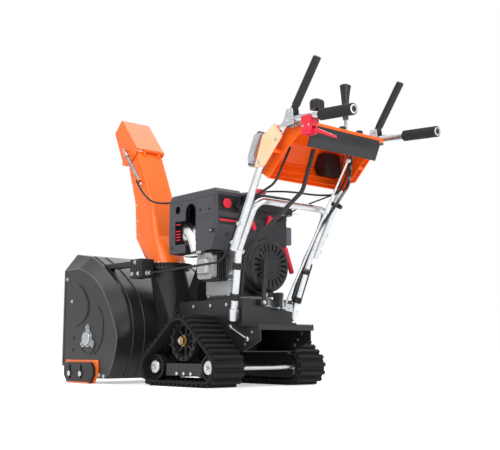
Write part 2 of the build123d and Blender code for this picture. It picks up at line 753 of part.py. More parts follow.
def engine_block():
    """Crankcase with feet, a finned cylinder on the left and its head."""
    case = block((COWL_RIGHT, ENGINE_X + 91), (BLOCK_REAR, BLOCK_FRONT), (DECK_Z + 14, CRANK_Z + 78))
    case = fillet(case.edges().filter_by(Axis.Y), 14)
    foot_depth = (BLOCK_REAR + 14, BLOCK_FRONT - 14)
    case += block((ENGINE_X - 100, ENGINE_X + 100), foot_depth, (DECK_Z, DECK_Z + 16))
    case += block((ENGINE_X - 148, ENGINE_X - 60), (16, 104), (424, COWL_BOTTOM - 8))
    for i in range(5):
        x = ENGINE_X - 104 - 9 * i
        case += block((x - 2, x + 2), (6, 114), (414, COWL_BOTTOM - 2))
    head = block((ENGINE_X - 170, ENGINE_X - 146), (12, 108), (420, COWL_BOTTOM - 6))
    case += fillet(head.edges().filter_by(Axis.X), 16)
    cover = block((ENGINE_X - 190, ENGINE_X - 168), (28, 92), (438, COWL_BOTTOM - 26))
    case += fillet(cover.edges().group_by(Axis.X)[0] + cover.edges().filter_by(Axis.X), 9)
    return case - rod_y(CRANK_R + RUN, BLOCK_REAR - 1, BLOCK_FRONT + 1, ENGINE_X, CRANK_Z)


def cowl_outline(inset):
    """Side-view outline of the engine cowl with its chamfered top and drawn-in rear."""
    low = COWL_BOTTOM - (1 if inset else 0)
    return polygon(
        (COWL_FRONT - inset, low),
        (COWL_FRONT - inset, COWL_TOP - 22),
        (COWL_FRONT - 24, COWL_TOP - inset),
        (COWL_REAR + 10, COWL_TOP - inset),
        (COWL_REAR + inset, COWL_TOP - 12),
        (COWL_REAR + inset, COWL_BOTTOM + 96),
        (COWL_REAR + 34 + inset, low),
    )


def engine_cowl():
    """Moulded box over the carburettor and exhaust, with an arched window in its left face."""
    shell = along_x(cowl_outline(0), COWL_LEFT, COWL_RIGHT)
    shell -= along_x(cowl_outline(3), COWL_LEFT + 3, COWL_RIGHT + 1)
    wall = (COWL_LEFT - 1, COWL_LEFT + 4)
    middle = COWL_FRONT - 146
    half = 35
    spring = COWL_TOP - 40 - half
    low = COWL_BOTTOM - 1
    rear, front = middle - half, middle + half
    arch = Pos(middle, spring) * Circle(half) + polygon((rear, low), (front, low), (front, spring), (rear, spring))
    shell -= along_x(arch, *wall)
    shell -= block(wall, (front - 1, COWL_FRONT - 40), (COWL_BOTTOM + 36, COWL_BOTTOM + 132))
    shell -= rod_x(17, *wall, COWL_FRONT - 58, COWL_TOP - 58)
    panel_height = (COWL_TOP - 88, COWL_TOP - 22)
    panel = block((COWL_LEFT + 8, COWL_RIGHT - 6), (COWL_REAR - 1, COWL_REAR + 2), panel_height)
    shell -= panel
    knob_hole = rod_y(CHOKE_STEM_R + RUN, COWL_REAR - 1, COWL_REAR + 6, CHOKE_X, CHOKE_Z)
    return shell - knob_hole


CHOKE_X = COWL_LEFT + 42
CHOKE_Z = COWL_TOP - 58
CHOKE_STEM_R = 5


def choke_knob():
    """Round choke knob on the cowl's rear panel."""
    face = COWL_REAR + 2 - AIR
    knob = rod_y(15, face - 16, face, CHOKE_X, CHOKE_Z)
    knob = fillet(knob.edges().group_by(Axis.Y)[0], 4)
    return knob + rod_y(CHOKE_STEM_R, face - 1, face + 22, CHOKE_X, CHOKE_Z)


def muffler():
    """Bright exhaust box and elbow seen through the cowl's window."""
    box = rod_y(42, 66, 190, COWL_LEFT + 56, COWL_BOTTOM + 74)
    box = fillet(box.edges(), 18)
    neck = block((COWL_LEFT + 28, COWL_LEFT + 52), (72, 104), (COWL_BOTTOM - 6, COWL_BOTTOM + 50))
    return box + neck


TANK_REAR = -110
TANK_BOTTOM = 690
TANK_TOP = 764
CAP_X = 42
CAP_Y = -46


def fuel_tank():
    """Moulded tank over the engine with a filler neck."""
    tank = block((-62, 190), (TANK_REAR, 150), (TANK_BOTTOM, TANK_TOP))
    tank = fillet(tank.edges().filter_by(Axis.Z), 26)
    tank = fillet(tank.edges().group_by(Axis.Z)[-1], 16)
    stays = [
        block((ENGINE_X + x - 10, ENGINE_X + x + 10), (110, 126), (CRANK_Z + 78, TANK_BOTTOM))
        for x in (-55, 55)
    ]
    neck = rod_z(22, TANK_TOP - 1, TANK_TOP + 10, CAP_X, CAP_Y)
    hollow = block((-54, 182), (TANK_REAR + 8, 142), (TANK_BOTTOM + 5, TANK_TOP - 10))
    bore = rod_z(16, TANK_TOP - 20, TANK_TOP + 11, CAP_X, CAP_Y)
    return tank + neck + stays - hollow - bore


def fuel_cap():
    """Screw cap on the filler neck."""
    top = TANK_TOP + 27
    cap = rod_z(30, TANK_TOP + AIR, top, CAP_X, CAP_Y)
    cap = fillet(cap.edges().group_by(Axis.Z)[-1], 5)
    return cap - rod_z(22 + AIR, TANK_TOP, TANK_TOP + 10 + AIR, CAP_X, CAP_Y)


def fan_shroud():
    """Sheet shroud round the flywheel, with the throttle panel above it."""
    outline = Pos(ENGINE_X, CRANK_Z) * Circle(RECOIL_R + 6)
    top = TANK_BOTTOM - 6
    outline += polygon(
        (-86, CRANK_Z),
        (SHROUD_RIGHT - 16, CRANK_Z),
        (SHROUD_RIGHT, 560),
        (SHROUD_RIGHT, top),
        (-60, top),
        (-60, 640),
    )
    shell = along_y(outline, SHROUD_REAR, BLOCK_REAR)
    shell -= rod_y(RECOIL_R - 4, SHROUD_REAR - 1, BLOCK_REAR - 4, ENGINE_X, CRANK_Z)
    shell -= rod_y(CRANK_R + 2, BLOCK_REAR - 5, BLOCK_REAR + 1, ENGINE_X, CRANK_Z)
    for x, z in (THROTTLE_PIVOT, TAP_PIVOT):
        shell -= rod_y(CHOKE_STEM_R + RUN, SHROUD_REAR - 1, SHROUD_REAR + 16, x, z)
    return shell


THROTTLE_PIVOT = (40, 640)
TAP_PIVOT = (-38, 618)


def panel_lever(pivot, length, lean):
    """Flat lever on the throttle panel, turning on a stem."""
    x, z = pivot
    face = SHROUD_REAR - AIR
    plate = Circle(9) + polygon((-7, 0), (7, 0), (12, length), (-12, length))
    lever = Pos(x, 0, z) * Rot(0, lean, 0) * along_y(plate, face - 12, face)
    return lever + rod_y(CHOKE_STEM_R, face - 2, face + 12, x, z)


def starter_switch_box():
    """Mains starter box on the shroud's right edge."""
    box = block((SHROUD_RIGHT, SHROUD_RIGHT + 32), (SHROUD_REAR + 4, BLOCK_REAR - 2), (566, 640))
    return fillet(box.edges().filter_by(Axis.Y), 6)


ROPE_Z = CRANK_Z + 70
ROPE_Y = -126


def recoil_cover():
    """Slotted dish over the rope reel, with the reel inside it."""
    cover = rod_y(RECOIL_R, RECOIL_REAR, SHROUD_REAR, ENGINE_X, CRANK_Z)
    cover = fillet(cover.edges().group_by(Axis.Y)[0], 20)
    hollow = rod_y(RECOIL_R - 6, RECOIL_REAR + 4, SHROUD_REAR + 1, ENGINE_X, CRANK_Z)
    cover -= fillet(hollow.edges().group_by(Axis.Y)[0], 16)
    slots = 22
    for i in range(slots):
        angle = 360 * i / slots
        slot = block((RECOIL_R - 50, RECOIL_R - 20), (RECOIL_REAR - 1, RECOIL_REAR + 8), (-3, 3))
        cover -= Pos(ENGINE_X, 0, CRANK_Z) * Rot(0, angle, 0) * slot
    cover -= rod_x(ROPE_R + AIR, ENGINE_X, ENGINE_X + RECOIL_R + 5, ROPE_Y, ROPE_Z)
    reel = rod_y(RECOIL_R - 54, RECOIL_REAR + 4, SHROUD_REAR - 8, ENGINE_X, CRANK_Z)
    return group(cover, reel - rod_y(20, SHROUD_REAR - 20, SHROUD_REAR, ENGINE_X, CRANK_Z))


def pull_handle():
    """Starting handle hanging from the rope where it leaves the cover."""
    half_chord = math.sqrt(RECOIL_R**2 - (ROPE_Z - CRANK_Z) ** 2)
    reach = ENGINE_X + half_chord + 4
    rope = rod_x(ROPE_R, ENGINE_X - half_chord + 16, reach + 14, ROPE_Y, ROPE_Z)
    top = (reach + 11, ROPE_Y - 2, ROPE_Z + 10)
    grip = rod(top, (reach + 59, ROPE_Y + 8, ROPE_Z - 92), 10)
    return fillet(grip.edges(), 5) + rope


def lower_handle():
    """Bent tube frame from the chassis sockets up to the cross tube."""
    foot = leg_point(0.5)
    points = [
        foot,
        (KNEE_X, KNEE_Y, KNEE_Z),
        (KNEE_X, CROSS_Y, CROSS_Z),
        (-KNEE_X, CROSS_Y, CROSS_Z),
        (-KNEE_X, KNEE_Y, KNEE_Z),
        (-foot[0], foot[1], foot[2]),
    ]
    return pipe(points, [160, 45, 45, 160], LEG_R, LEG_R - 2.5)


HANDLE_START = (KNEE_X + LEG_R + HANDLE_R + 0.4, KNEE_Y - 2, KNEE_Z)
HANDLE_ELBOW = (HANDLE_X, -500, 944)


def handle_path():
    """Centre line points of the right upper handle, from its bolted foot to the grip end."""
    rise = (CROSS_Z - KNEE_Z) / (CROSS_Y - KNEE_Y)
    y = -356
    z = KNEE_Z + rise * (y - KNEE_Y)
    return [HANDLE_START, (HANDLE_X, y, z), HANDLE_ELBOW, (HANDLE_X, GRIP_END, GRIP_Z - 3)]


def upper_handle():
    """Bent handle tube that carries the console and a grip."""
    return pipe(handle_path(), [220, 60], HANDLE_R, HANDLE_R - 2)


def handle_slope(y):
    """Height of the handle's rearward run at a Y value."""
    share = (y - HANDLE_ELBOW[1]) / (GRIP_END - HANDLE_ELBOW[1])
    return HANDLE_ELBOW[2] + share * (GRIP_Z - 3 - HANDLE_ELBOW[2])


def handle_grip():
    """Foam sleeve with a plugged end."""
    start = (HANDLE_X, GRIP_START, handle_slope(GRIP_START))
    end = (HANDLE_X, GRIP_END, handle_slope(GRIP_END))
    return rod(start, end, GRIP_R + 3) - rod(start, end, HANDLE_R)


PADDLE_Y = -530
PADDLE_Z = 969
PADDLE_TILT = 54


def paddle_bracket():
    """Folded bracket that straddles the handle and carries the paddle's pin."""
    outline = polygon(
        (PADDLE_Y - 14, PADDLE_Z + 10),
        (PADDLE_Y + 14, PADDLE_Z + 10),
        (PADDLE_Y + 40, PADDLE_Z - 50),
        (PADDLE_Y - 22, PADDLE_Z - 50),
    )
    bracket = None
    for side in (-1, 1):
        x = HANDLE_X + side * (HANDLE_R + 1.7)
        cheek = along_x(outline, x - 1.5, x + 1.5)
        bracket = cheek if bracket is None else bracket + cheek
    bracket += rod_x(PIN_R, HANDLE_X - HANDLE_R - 3, HANDLE_X + HANDLE_R + 3, PADDLE_Y, PADDLE_Z)
    return bracket


def paddle():
    """Drive paddle: a flat ribbed bar that swings down on to the grip."""
    bar = block((-15, 15), (26, PADDLE_LENGTH), (-10, 10))
    bar = fillet(bar.edges().filter_by(Axis.Y), 8)
    bar = fillet(bar.edges().group_by(Axis.Y)[-1], 5)
    eye = rod_x(10, -11, 11, 0, 0) + block((-11, 11), (0, 30), (-7, 7))
    shape = bar + eye - rod_x(PIN_R + RUN, -12, 12, 0, 0)
    return Pos(HANDLE_X, PADDLE_Y, PADDLE_Z) * Rot(180 - PADDLE_TILT, 0, 0) * shape


TRIGGER_Y = -612
TRIGGER_Z = 884


def trigger_block():
    """Moulded block under the left handle with a fork for the trigger."""
    z = handle_slope(TRIGGER_Y)
    depth = (TRIGGER_Y - 22, TRIGGER_Y + 24)
    body = block((HANDLE_X - 17, HANDLE_X + 17), depth, (TRIGGER_Z - 12, z + 4))
    body = fillet(body.edges().filter_by(Axis.X), 5)
    path_start = (HANDLE_X, HANDLE_ELBOW[1], HANDLE_ELBOW[2])
    path_end = (HANDLE_X, GRIP_END, GRIP_Z - 3)
    body -= rod(path_start, path_end, HANDLE_R)
    slot = (TRIGGER_Y - 23, TRIGGER_Y + 12)
    body -= block((HANDLE_X - 8, HANDLE_X + 8), slot, (TRIGGER_Z - 13, TRIGGER_Z + 14))
    body += rod_x(PIN_R, HANDLE_X - 9, HANDLE_X + 9, TRIGGER_Y, TRIGGER_Z)
    return left(body)


def steering_trigger():
    """Curved trigger that pulls up towards the left grip."""
    outline = polygon(
        (TRIGGER_Y + 8, TRIGGER_Z + 5),
        (TRIGGER_Y - 40, TRIGGER_Z + 2),
        (TRIGGER_Y - 118, TRIGGER_Z - 38),
        (TRIGGER_Y - 124, TRIGGER_Z - 48),
        (TRIGGER_Y - 40, TRIGGER_Z - 12),
        (TRIGGER_Y + 8, TRIGGER_Z - 8),
    )
    lever = along_x(outline, HANDLE_X - 7, HANDLE_X + 7)
    lever -= rod_x(PIN_R + RUN, HANDLE_X - 8, HANDLE_X + 8, TRIGGER_Y, TRIGGER_Z)
    return left(lever)


HOOD_REAR = (-580, 926)
HOOD_POINTS = [HOOD_REAR, (-430, 946), (-345, 922), (-304, 850), (-330, 790), (-378, 756)]


def dash_hood():
    """Moulded console: a bent shell, thick rear rail and end walls, with slots for the levers."""
    outline = polygon(*HOOD_POINTS, (-470, 850), (-560, 906))
    inner = offset(outline, -HOOD_WALL)
    shell = along_x(outline, -HOOD_HALF, HOOD_HALF)
    shell -= along_x(inner, -HOOD_HALF + HOOD_WALL, HOOD_HALF - HOOD_WALL)
    hollow = polygon((-374, 756), (-385, 744), (-610, 860), (-564, 916), (-440, 906))
    shell -= along_x(hollow, -HOOD_HALF + HOOD_WALL, HOOD_HALF - HOOD_WALL)
    rail = along_x(Pos(*HOOD_REAR) * RectangleRounded(9, 12, 3), -HOOD_HALF, HOOD_HALF)
    shell += rail
    gear_slot = block((GEAR_X - 10, GEAR_X + 10), (GEAR_Y - 34, GEAR_Y + 34), (900, 960))
    stick_slot = rod_z(24, 900, 970, STICK_X, STICK_Y)
    shell -= [gear_slot, stick_slot]
    for x in SWITCH_X:
        shell -= rod_z(6 + AIR, 900, 960, x, SWITCH_Y)
    bracket = block((GEAR_X - 22, GEAR_X - 7), (GEAR_Y - 12, GEAR_Y + 12), (GEAR_PIVOT_Z - 12, 931))
    shell += bracket
    shell += rod_x(PIN_R, GEAR_X - 9, GEAR_X + 6, GEAR_Y, GEAR_PIVOT_Z)
    for side in (-1, 1):
        x = STICK_X + side * 30
        shell += block((x - 3, x + 3), (STICK_Y - 8, STICK_Y + 8), (STICK_Z - 8, 936))
        shell += rod_x(PIN_R, *sorted((x, x - side * 12)), STICK_Y, STICK_Z)
    return shell


STICK_X = -60
STICK_Y = -490
STICK_Z = 906


def stick_gimbal():
    """Ring that lets the joystick lean fore and aft."""
    ring = rod_z(23, STICK_Z - 6, STICK_Z + 6, STICK_X, STICK_Y)
    ring -= rod_z(15, STICK_Z - 7, STICK_Z + 7, STICK_X, STICK_Y)
    ring -= rod_x(PIN_R + RUN, STICK_X - 24, STICK_X + 24, STICK_Y, STICK_Z)
    for side in (-1, 1):
        ends = sorted((STICK_Y + side * 17, STICK_Y + side * 4))
        ring += rod_y(3, *ends, STICK_X, STICK_Z)
    return ring


def joystick():
    """Chute control stick with a rounded knob."""
    stem = rod_z(6, STICK_Z - 8, 1020, STICK_X, STICK_Y) + Pos(STICK_X, STICK_Y, STICK_Z) * Sphere(9)
    stem -= rod_y(3 + RUN, STICK_Y - 12, STICK_Y + 12, STICK_X, STICK_Z)
    knob = block((STICK_X - 27, STICK_X + 27), (STICK_Y - 22, STICK_Y + 22), (1016, 1056))
    knob = fillet(knob.edges().filter_by(Axis.Z), 18)
    knob = fillet(knob.edges().group_by(Axis.Z)[-1], 14)
    return stem + knob


SWITCH_X = (4, 96)
SWITCH_Y = -556


def dash_switch(x):
    """Round push switch on the hood's rear edge."""
    top = 946
    button = rod_z(13, top - 12, top + 4, x, SWITCH_Y)
    button = fillet(button.edges().group_by(Axis.Z)[-1], 5)
    return button + rod_z(6, 906, top - 11, x, SWITCH_Y)


def dash_panel():
    """Dark rear panel folded down from the hood's rail."""
    outline = polygon((-582, 920), (-578, 920), (-577, 903), (-554, 850), (-560, 846), (-585, 902))
    return along_x(outline, -HOOD_HALF + 22, HOOD_HALF - 22)


def console_side():
    """Light side plate outside the right handle, spaced off the hood by two bosses."""
    plate = polygon((-455, 940), (-495, 888), (-402, 795), (-345, 795), (-390, 908))
    side = along_x(plate, CONSOLE_SIDE_X, CONSOLE_SIDE_X + SHEET)
    for y, z in ((-372, 862), (-440, 846)):
        side += rod_x(8, HOOD_HALF, CONSOLE_SIDE_X, y, z)
    return side


def headlight():
    """Wide lamp on the front of the hood."""
    outline = polygon((-344, 926), (-340, 934), (-318, 928), (-281, 850), (-284, 822), (-308, 840))
    lamp = along_x(outline, -HOOD_HALF + 30, HOOD_HALF - 30)
    return lamp - along_x(polygon(*HOOD_POINTS, (-500, 800)), -HOOD_HALF, HOOD_HALF)


def gear_outline(teeth, hole):
    """Straight-flanked gear with ample backlash."""
    pitch_r = teeth * GEAR_MODULE / 2
    root = pitch_r - GEAR_MODULE * 1.0
    tip = pitch_r + GEAR_MODULE * 0.75
    step = 2 * math.pi / teeth
    face = Circle(root + 0.4)
    flanks = []
    for i in range(teeth):
        angle = step * i
        corners = []
        for radius, half in ((root - 1, -0.27), (root - 1, 0.27), (tip, 0.12), (tip, -0.12)):
            at = angle + half * step
            corners.append((radius * math.cos(at), radius * math.sin(at)))
        flanks.append(polygon(*corners))
    face += flanks
    return face - Circle(hole)


PINION_ANGLE = 180


def pinion_place():
    angle = math.radians(PINION_ANGLE)
    reach = RING_R + PINION_R
    return CHUTE_X + reach * math.cos(angle), CHUTE_Y + reach * math.sin(angle)


def chute_ring():
    """Toothed ring that turns on the duct's flange."""
    ring = along_z(gear_outline(RING_TEETH, CHUTE_FOOT / 2 - 10), RING_Z, RING_Z + RING_THICK)
    return Pos(CHUTE_X, CHUTE_Y, 0) * Rot(0, 0, PINION_ANGLE) * ring


def chute_pinion():
    """Pinion that turns the ring, on a short stem."""
    x, y = pinion_place()
    gear = along_z(gear_outline(PINION_TEETH, 0.5), RING_Z + 1, RING_Z + RING_THICK - 1)
    turn = PINION_ANGLE + 180 + 180 / PINION_TEETH
    return Pos(x, y, 0) * (Rot(0, 0, turn) * gear + rod_z(8, RING_Z - 20, RING_Z + RING_THICK + 3, 0, 0))


def pinion_housing():
    """Moulded block beside the ring that carries the pinion."""
    x, y = pinion_place()
    body = block((x - 40, x + 32), (y - 42, y + 42), (RING_Z - 52, RING_Z + RING_THICK + 12))
    body = fillet(body.edges().filter_by(Axis.Z), 8)
    body -= rod_z(PINION_R + 9, RING_Z - 3, RING_Z + RING_THICK + 4, x, y)
    body -= rod_z(RING_R + 9, RING_Z - 70, RING_Z + RING_THICK + 30, CHUTE_X, CHUTE_Y)
    body -= rod_z(8 + RUN, RING_Z - 22, RING_Z, x, y)
    arm = block((x + 10, CHUTE_X - 40), (y - 14, y + 14), (RING_Z - 40, RING_Z - 4))
    flange = rod_z(CHUTE_FOOT / 2 + 14, RING_Z - 60, RING_Z, CHUTE_X, CHUTE_Y)
    return body + (arm - flange - duct(-1))


def chute_section(z, rear, front, width, corner, inset):
    depth = front - rear - 2 * inset
    outline = RectangleRounded(width - 2 * inset, depth, corner - inset)
    return Pos(CHUTE_X, (rear + front) / 2, z) * outline


def chute_solid(inset):
    """Chute envelope: round at the ring, a flat-backed channel above."""
    half = CHUTE_FOOT / 2
    low = RING_Z + RING_THICK
    over = 1 if inset else 0
    sections = [
        chute_section(low - over, CHUTE_Y - half, CHUTE_Y + half, CHUTE_FOOT, half - 0.5, inset),
        chute_section(622, 340, 509, CHUTE_WIDTH + 8, 34, inset),
        chute_section(780, 380, 518, CHUTE_WIDTH + 4, 24, inset),
        chute_section(HINGE_Z + 10 + over, 499, 595, CHUTE_WIDTH, 10, inset),
    ]
    return loft(sections, ruled=True)


ROD_TOP = (566, 1024)
ROD_EYE = (441, 868)


def chute():
    """Open-fronted chute with a slanted top edge and a guide eye for the deflector rod."""
    half = CHUTE_WIDTH / 2 - CHUTE_WALL - 2
    shell = chute_solid(0) - chute_solid(CHUTE_WALL)
    mouth = polygon((440, 590), (700, 590), (720, 1100), (545, 1100), (470, 700))
    shell -= along_x(mouth, CHUTE_X - half, CHUTE_X + half)
    edge = HINGE_Z - 6
    top_cut = polygon((400, edge), (500, edge), (566, 962), (700, 962), (700, 1100), (400, 1100))
    shell -= along_x(top_cut, CHUTE_X - 200, CHUTE_X + 200)
    for side in (-1, 1):
        x = CHUTE_X + side * (KNUCKLE_HALF + 6.5)
        shell += rod_x(7, x - 6, x + 6, HINGE_Y, HINGE_Z)
        shell += block((x - 6, x + 6), (HINGE_Y - 6, HINGE_Y + 12), (HINGE_Z - 26, HINGE_Z - 6))
    shell += rod_x(PIN_R, CHUTE_X - KNUCKLE_HALF - 2, CHUTE_X + KNUCKLE_HALF + 2, HINGE_Y, HINGE_Z)
    y, z = ROD_EYE
    outside = CHUTE_X - CHUTE_WIDTH / 2
    way = (0, ROD_TOP[0] - y, ROD_TOP[1] - z)
    eye = Plane(origin=(ROD_X, y, z), z_dir=way)
    ring = eye * Cylinder(11, 12) - eye * Cylinder(ROD_R + 4.5, 14)
    web = block((ROD_X + 9, outside + 3), (y - 6, y + 6), (z - 6, z + 6))
    return shell + (ring + web - eye * Cylinder(ROD_R + 4.5, 60)) - chute_solid(CHUTE_WALL)


KNUCKLE_HALF = 30
ROD_R = 4
ROD_X = CHUTE_X - CHUTE_WIDTH / 2 - 24


def deflector():
    """Hinged hood on the chute: back plate, side cheeks, rear knuckle and the rod's pin."""
    outer = CHUTE_WIDTH / 2 + 7
    lower = ((489, 1026), (503, 1012), (566, 968), (603, 977))
    cheeks = polygon(*lower, (673, 1126), (620, 1175), (612, 1175))
    hood = along_x(cheeks, CHUTE_X - outer, CHUTE_X + outer)
    channel = polygon((492, 1023.5), (492, 1000), (560, 940), (640, 960), (720, 1130), (640, 1202.5))
    hood -= along_x(channel, CHUTE_X - outer + 3, CHUTE_X + outer - 3)
    hood += rod_x(8, CHUTE_X - KNUCKLE_HALF, CHUTE_X + KNUCKLE_HALF, HINGE_Y, HINGE_Z)
    hood -= rod_x(PIN_R + RUN, CHUTE_X - KNUCKLE_HALF - 1, CHUTE_X + KNUCKLE_HALF + 1, HINGE_Y, HINGE_Z)
    y, z = ROD_TOP
    hood += rod_x(PIN_R, ROD_X - 7, CHUTE_X - outer + 1, y, z)
    return hood


def deflector_rod():
    """Guide rod pinned to the deflector, sliding through the chute's eye."""
    top = Vector(ROD_X, *ROD_TOP)
    way = (Vector(ROD_X, *ROD_EYE) - top).normalized()
    bar = rod(tuple(top), tuple(top + way * 228), ROD_R)
    bar += rod_x(9, ROD_X - 6, ROD_X + 6, *ROD_TOP)
    bar += rod(tuple(top + way * 30), tuple(top + way * 38), 10)
    return bar - rod_x(PIN_R + RUN, ROD_X - 9, ROD_X + 9, *ROD_TOP)


def rod_spring():
    """Coil spring round the rod, between its collar and the eye."""
    top = Vector(ROD_X, *ROD_TOP)
    eye = Vector(ROD_X, *ROD_EYE)
    way = (eye - top).normalized()
    length = (eye - top).length - 38 - 9
    place = Plane(origin=tuple(top + way * 38.2), z_dir=way)
    turns = 11
    wire = 1.6
    helix = Helix((length - 4) / turns, length - 4, 7.5, center=(0, 0, 1.8))
    coil = sweep(Plane(origin=helix @ 0, z_dir=helix % 0) * Circle(wire), path=helix, is_frenet=True)
    return place * coil


def skid():
    """Bent skid shoe with a slotted pad, on the right side plate."""
    face = HALF_INTAKE + AIR
    rear = SKID_FRONT - SKID_LENGTH
    outline = polygon(
        (SKID_FRONT, 34),
        (SKID_FRONT - 30, 0),
        (rear + 30, 0),
        (rear, 34),
        (rear, 66),
        (rear + 24, SKID_HEIGHT),
        (SKID_FRONT - 24, SKID_HEIGHT), (SKID_FRONT, 66),
    )
    pad = along_x(outline, face + 4, face + 18)
    shoe = polygon(
        (SKID_FRONT + 8, 30),
        (SKID_FRONT - 22, 0),
        (rear + 12, 0),
        (rear - 18, 34),
        (rear - 18, 98),
        (SKID_FRONT + 8, 98),
    )
    plate = along_x(shoe, face, face + 4)
    for y in SKID_BOLTS:
        slot = Pos(y, 48) * SlotOverall(62, SKID_BOLT_R * 2 + 2, rotation=90)
        pad -= along_x(slot, face, face + 20)
        plate -= along_x(slot, face - 1, face + 5)
    return group(plate, pad)


SKID_BOLTS = (710, 617)
SKID_BOLT_R = 6


def fasteners():
    """Skid bolts and the screws that close the chassis and console."""
    bolts = []
    for y in SKID_BOLTS:
        shank = rod_x(SKID_BOLT_R, HALF_INTAKE, HALF_INTAKE + 26, y, 40)
        head = hex_head(7, 22, Plane(origin=(HALF_INTAKE + AIR * 2 + 18, y, 40), z_dir=(1, 0, 0)))
        bolts.append(shank + head)
    side = CONSOLE_SIDE_X + SHEET
    for y, z in ((-370, 812), (-462, 880)):
        bolts.append(hex_head(4, 11, Plane(origin=(side, y, z), z_dir=(1, 0, 0))))
    for y in (-60, 40, 150):
        bolts.append(hex_head(5, 13, Plane(origin=(CHASSIS_HALF, y, DECK_Z - 22), z_dir=(1, 0, 0))))
    return both_sides(*bolts)


def beside_leg(distance, radius):
    """A point beside the right leg, where a cable of this radius lies against the leg's clips."""
    x, y, z = leg_point(distance)
    return (x - (CLIP_R + radius + 0.6), y, z)


def control_cables():
    """Sheathed cables and looms held along the handles between the console, engine and chute drive."""
    x, y = pinion_place()
    z = RING_Z - 34
    rotation = pipe(
        [
            (x - 10, y - 42, z),
            (x - 10, 200, z),
            (-226, -150, 470),
            (-204, -176, 560),
            (-204, -240, 680),
            (-188, -398, 738),
            (-150, -440, 870),
        ],
        [160, 60, 90, 60, 50],
        4.5,
    )
    upper = beside_leg(245, LOOM_R)
    lower = beside_leg(84, LOOM_R)
    loom = pipe(
        [(70, -480, 868), (70, -420, 720), (126, -280, 590), upper, lower],
        [70, 110, 60],
        LOOM_R,
    )
    upper = beside_leg(245, WRAP_R)
    lower = beside_leg(84, WRAP_R)
    right = pipe(
        [(170, -450, 880), (172, -428, 770), (150, -280, 600), upper, lower],
        [60, 110, 90],
        WRAP_R,
    )
    throttle = pipe(
        [(132, -440, 880), (136, -412, 740), (96, -230, 700), (96, SHROUD_REAR - 1.2, 660)],
        [60, 60],
        3,
    )
    return group(rotation, left(loom), right, throttle)


def deflector_cable():
    """Cable from the console over the tank and round the front of the cowl to the eye on the chute."""
    x = ROD_X - 15.4
    return pipe(
        [
            (x, *ROD_EYE),
            (x, 372, 772),
            (-196, 264, 742),
            (-60, 258, 790),
            (70, 120, 800),
            (120, -110, 790),
            (130, -330, 735),
            (150, -430, 740),
            (160, -452, 880),
        ],
        [60, 50, 80, 120, 200, 120, 45],
        4,
    )


def clips():
    """Cable clips round the legs."""
    rings = []
    for distance in (70, 190):
        ring = rod(leg_point(distance), leg_point(distance + 24), CLIP_R)
        rings.append(ring - rod(leg_point(distance - 5), leg_point(distance + 30), LEG_R))
    return both_sides(*rings)


def main():
    """Build every piece and write one file for each."""
    os.makedirs("parts", exist_ok=True)
    envelope = housing_body(0)
    belt = track_belt()
    wheel = sprocket()
    front_idler = idler(FRONT_IDLER_Y)
    rear_idler = idler(REAR_IDLER_Y)
    flight = auger_flight()
    pieces = {
        "chassis_frame": group(chassis_frame(), transmission_case()),
        "right_track": belt,
        "left_track": left(belt),
        "right_sprocket": wheel,
        "left_sprocket": left(wheel),
        "right_front_idler": front_idler,
        "left_front_idler": left(front_idler),
        "right_rear_idler": rear_idler,
        "left_rear_idler": left(rear_idler),
        "track_frames": track_frames(),
        "auger_housing": auger_housing(envelope),
        "impeller_housing": impeller_housing(envelope),
        "scraper_bar": scraper_bar(),
        "auger_bearings": group(bearing_flange(), left(bearing_flange())),
        "auger_gearbox": auger_gearbox(),
        "auger": group(auger_shaft(), flight, left(flight)),
        "impeller": group(impeller_fan(), impeller_shaft()),
        "crankshaft": crankshaft(),
        "drive_belt": drive_belt(),
        "belt_cover": belt_cover(),
        "engine_block": group(engine_block(), muffler()),
        "engine_cowl": engine_cowl(),
        "choke_knob": choke_knob(),
        "fuel_tank": fuel_tank(),
        "fuel_cap": fuel_cap(),
        "fan_shroud": group(fan_shroud(), starter_switch_box()),
        "throttle_lever": panel_lever(THROTTLE_PIVOT, 34, 20),
        "fuel_tap": panel_lever(TAP_PIVOT, 24, -30),
        "recoil_cover": recoil_cover(),
        "pull_handle": pull_handle(),
        "lower_handle": lower_handle(),
        "upper_handles": both_sides(upper_handle(), paddle_bracket()),
        "handle_grips": both_sides(handle_grip()),
        "right_paddle": paddle(),
        "left_paddle": left(paddle()),
        "trigger_block": trigger_block(),
        "steering_trigger": steering_trigger(),
        "dash_hood": group(dash_hood(), console_side(), left(console_side())),
        "dash_panel": dash_panel(),
        "headlight": headlight(),
        "stick_gimbal": stick_gimbal(),
        "joystick": joystick(),
        "gear_lever": gear_lever(),
        "selector_rod": selector_rod(),
        "shift_arm": shift_arm(),
        "light_switch": dash_switch(SWITCH_X[0]),
        "heat_switch": dash_switch(SWITCH_X[1]),
        "lift_lever": lift_lever(),
        "chute_ring": chute_ring(),
        "chute_pinion": chute_pinion(),
        "pinion_housing": pinion_housing(),
        "chute": chute(),
        "deflector": deflector(),
        "deflector_rod": deflector_rod(),
        "rod_spring": rod_spring(),
        "right_skid": skid(),
        "left_skid": left(skid()),
        "fasteners": fasteners(),
        "control_cables": group(control_cables(), clips()),
        "deflector_cable": deflector_cable(),
    }
    for name, shape in pieces.items():
        export_step(shape, f"parts/{name}.step")


main()
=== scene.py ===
import math

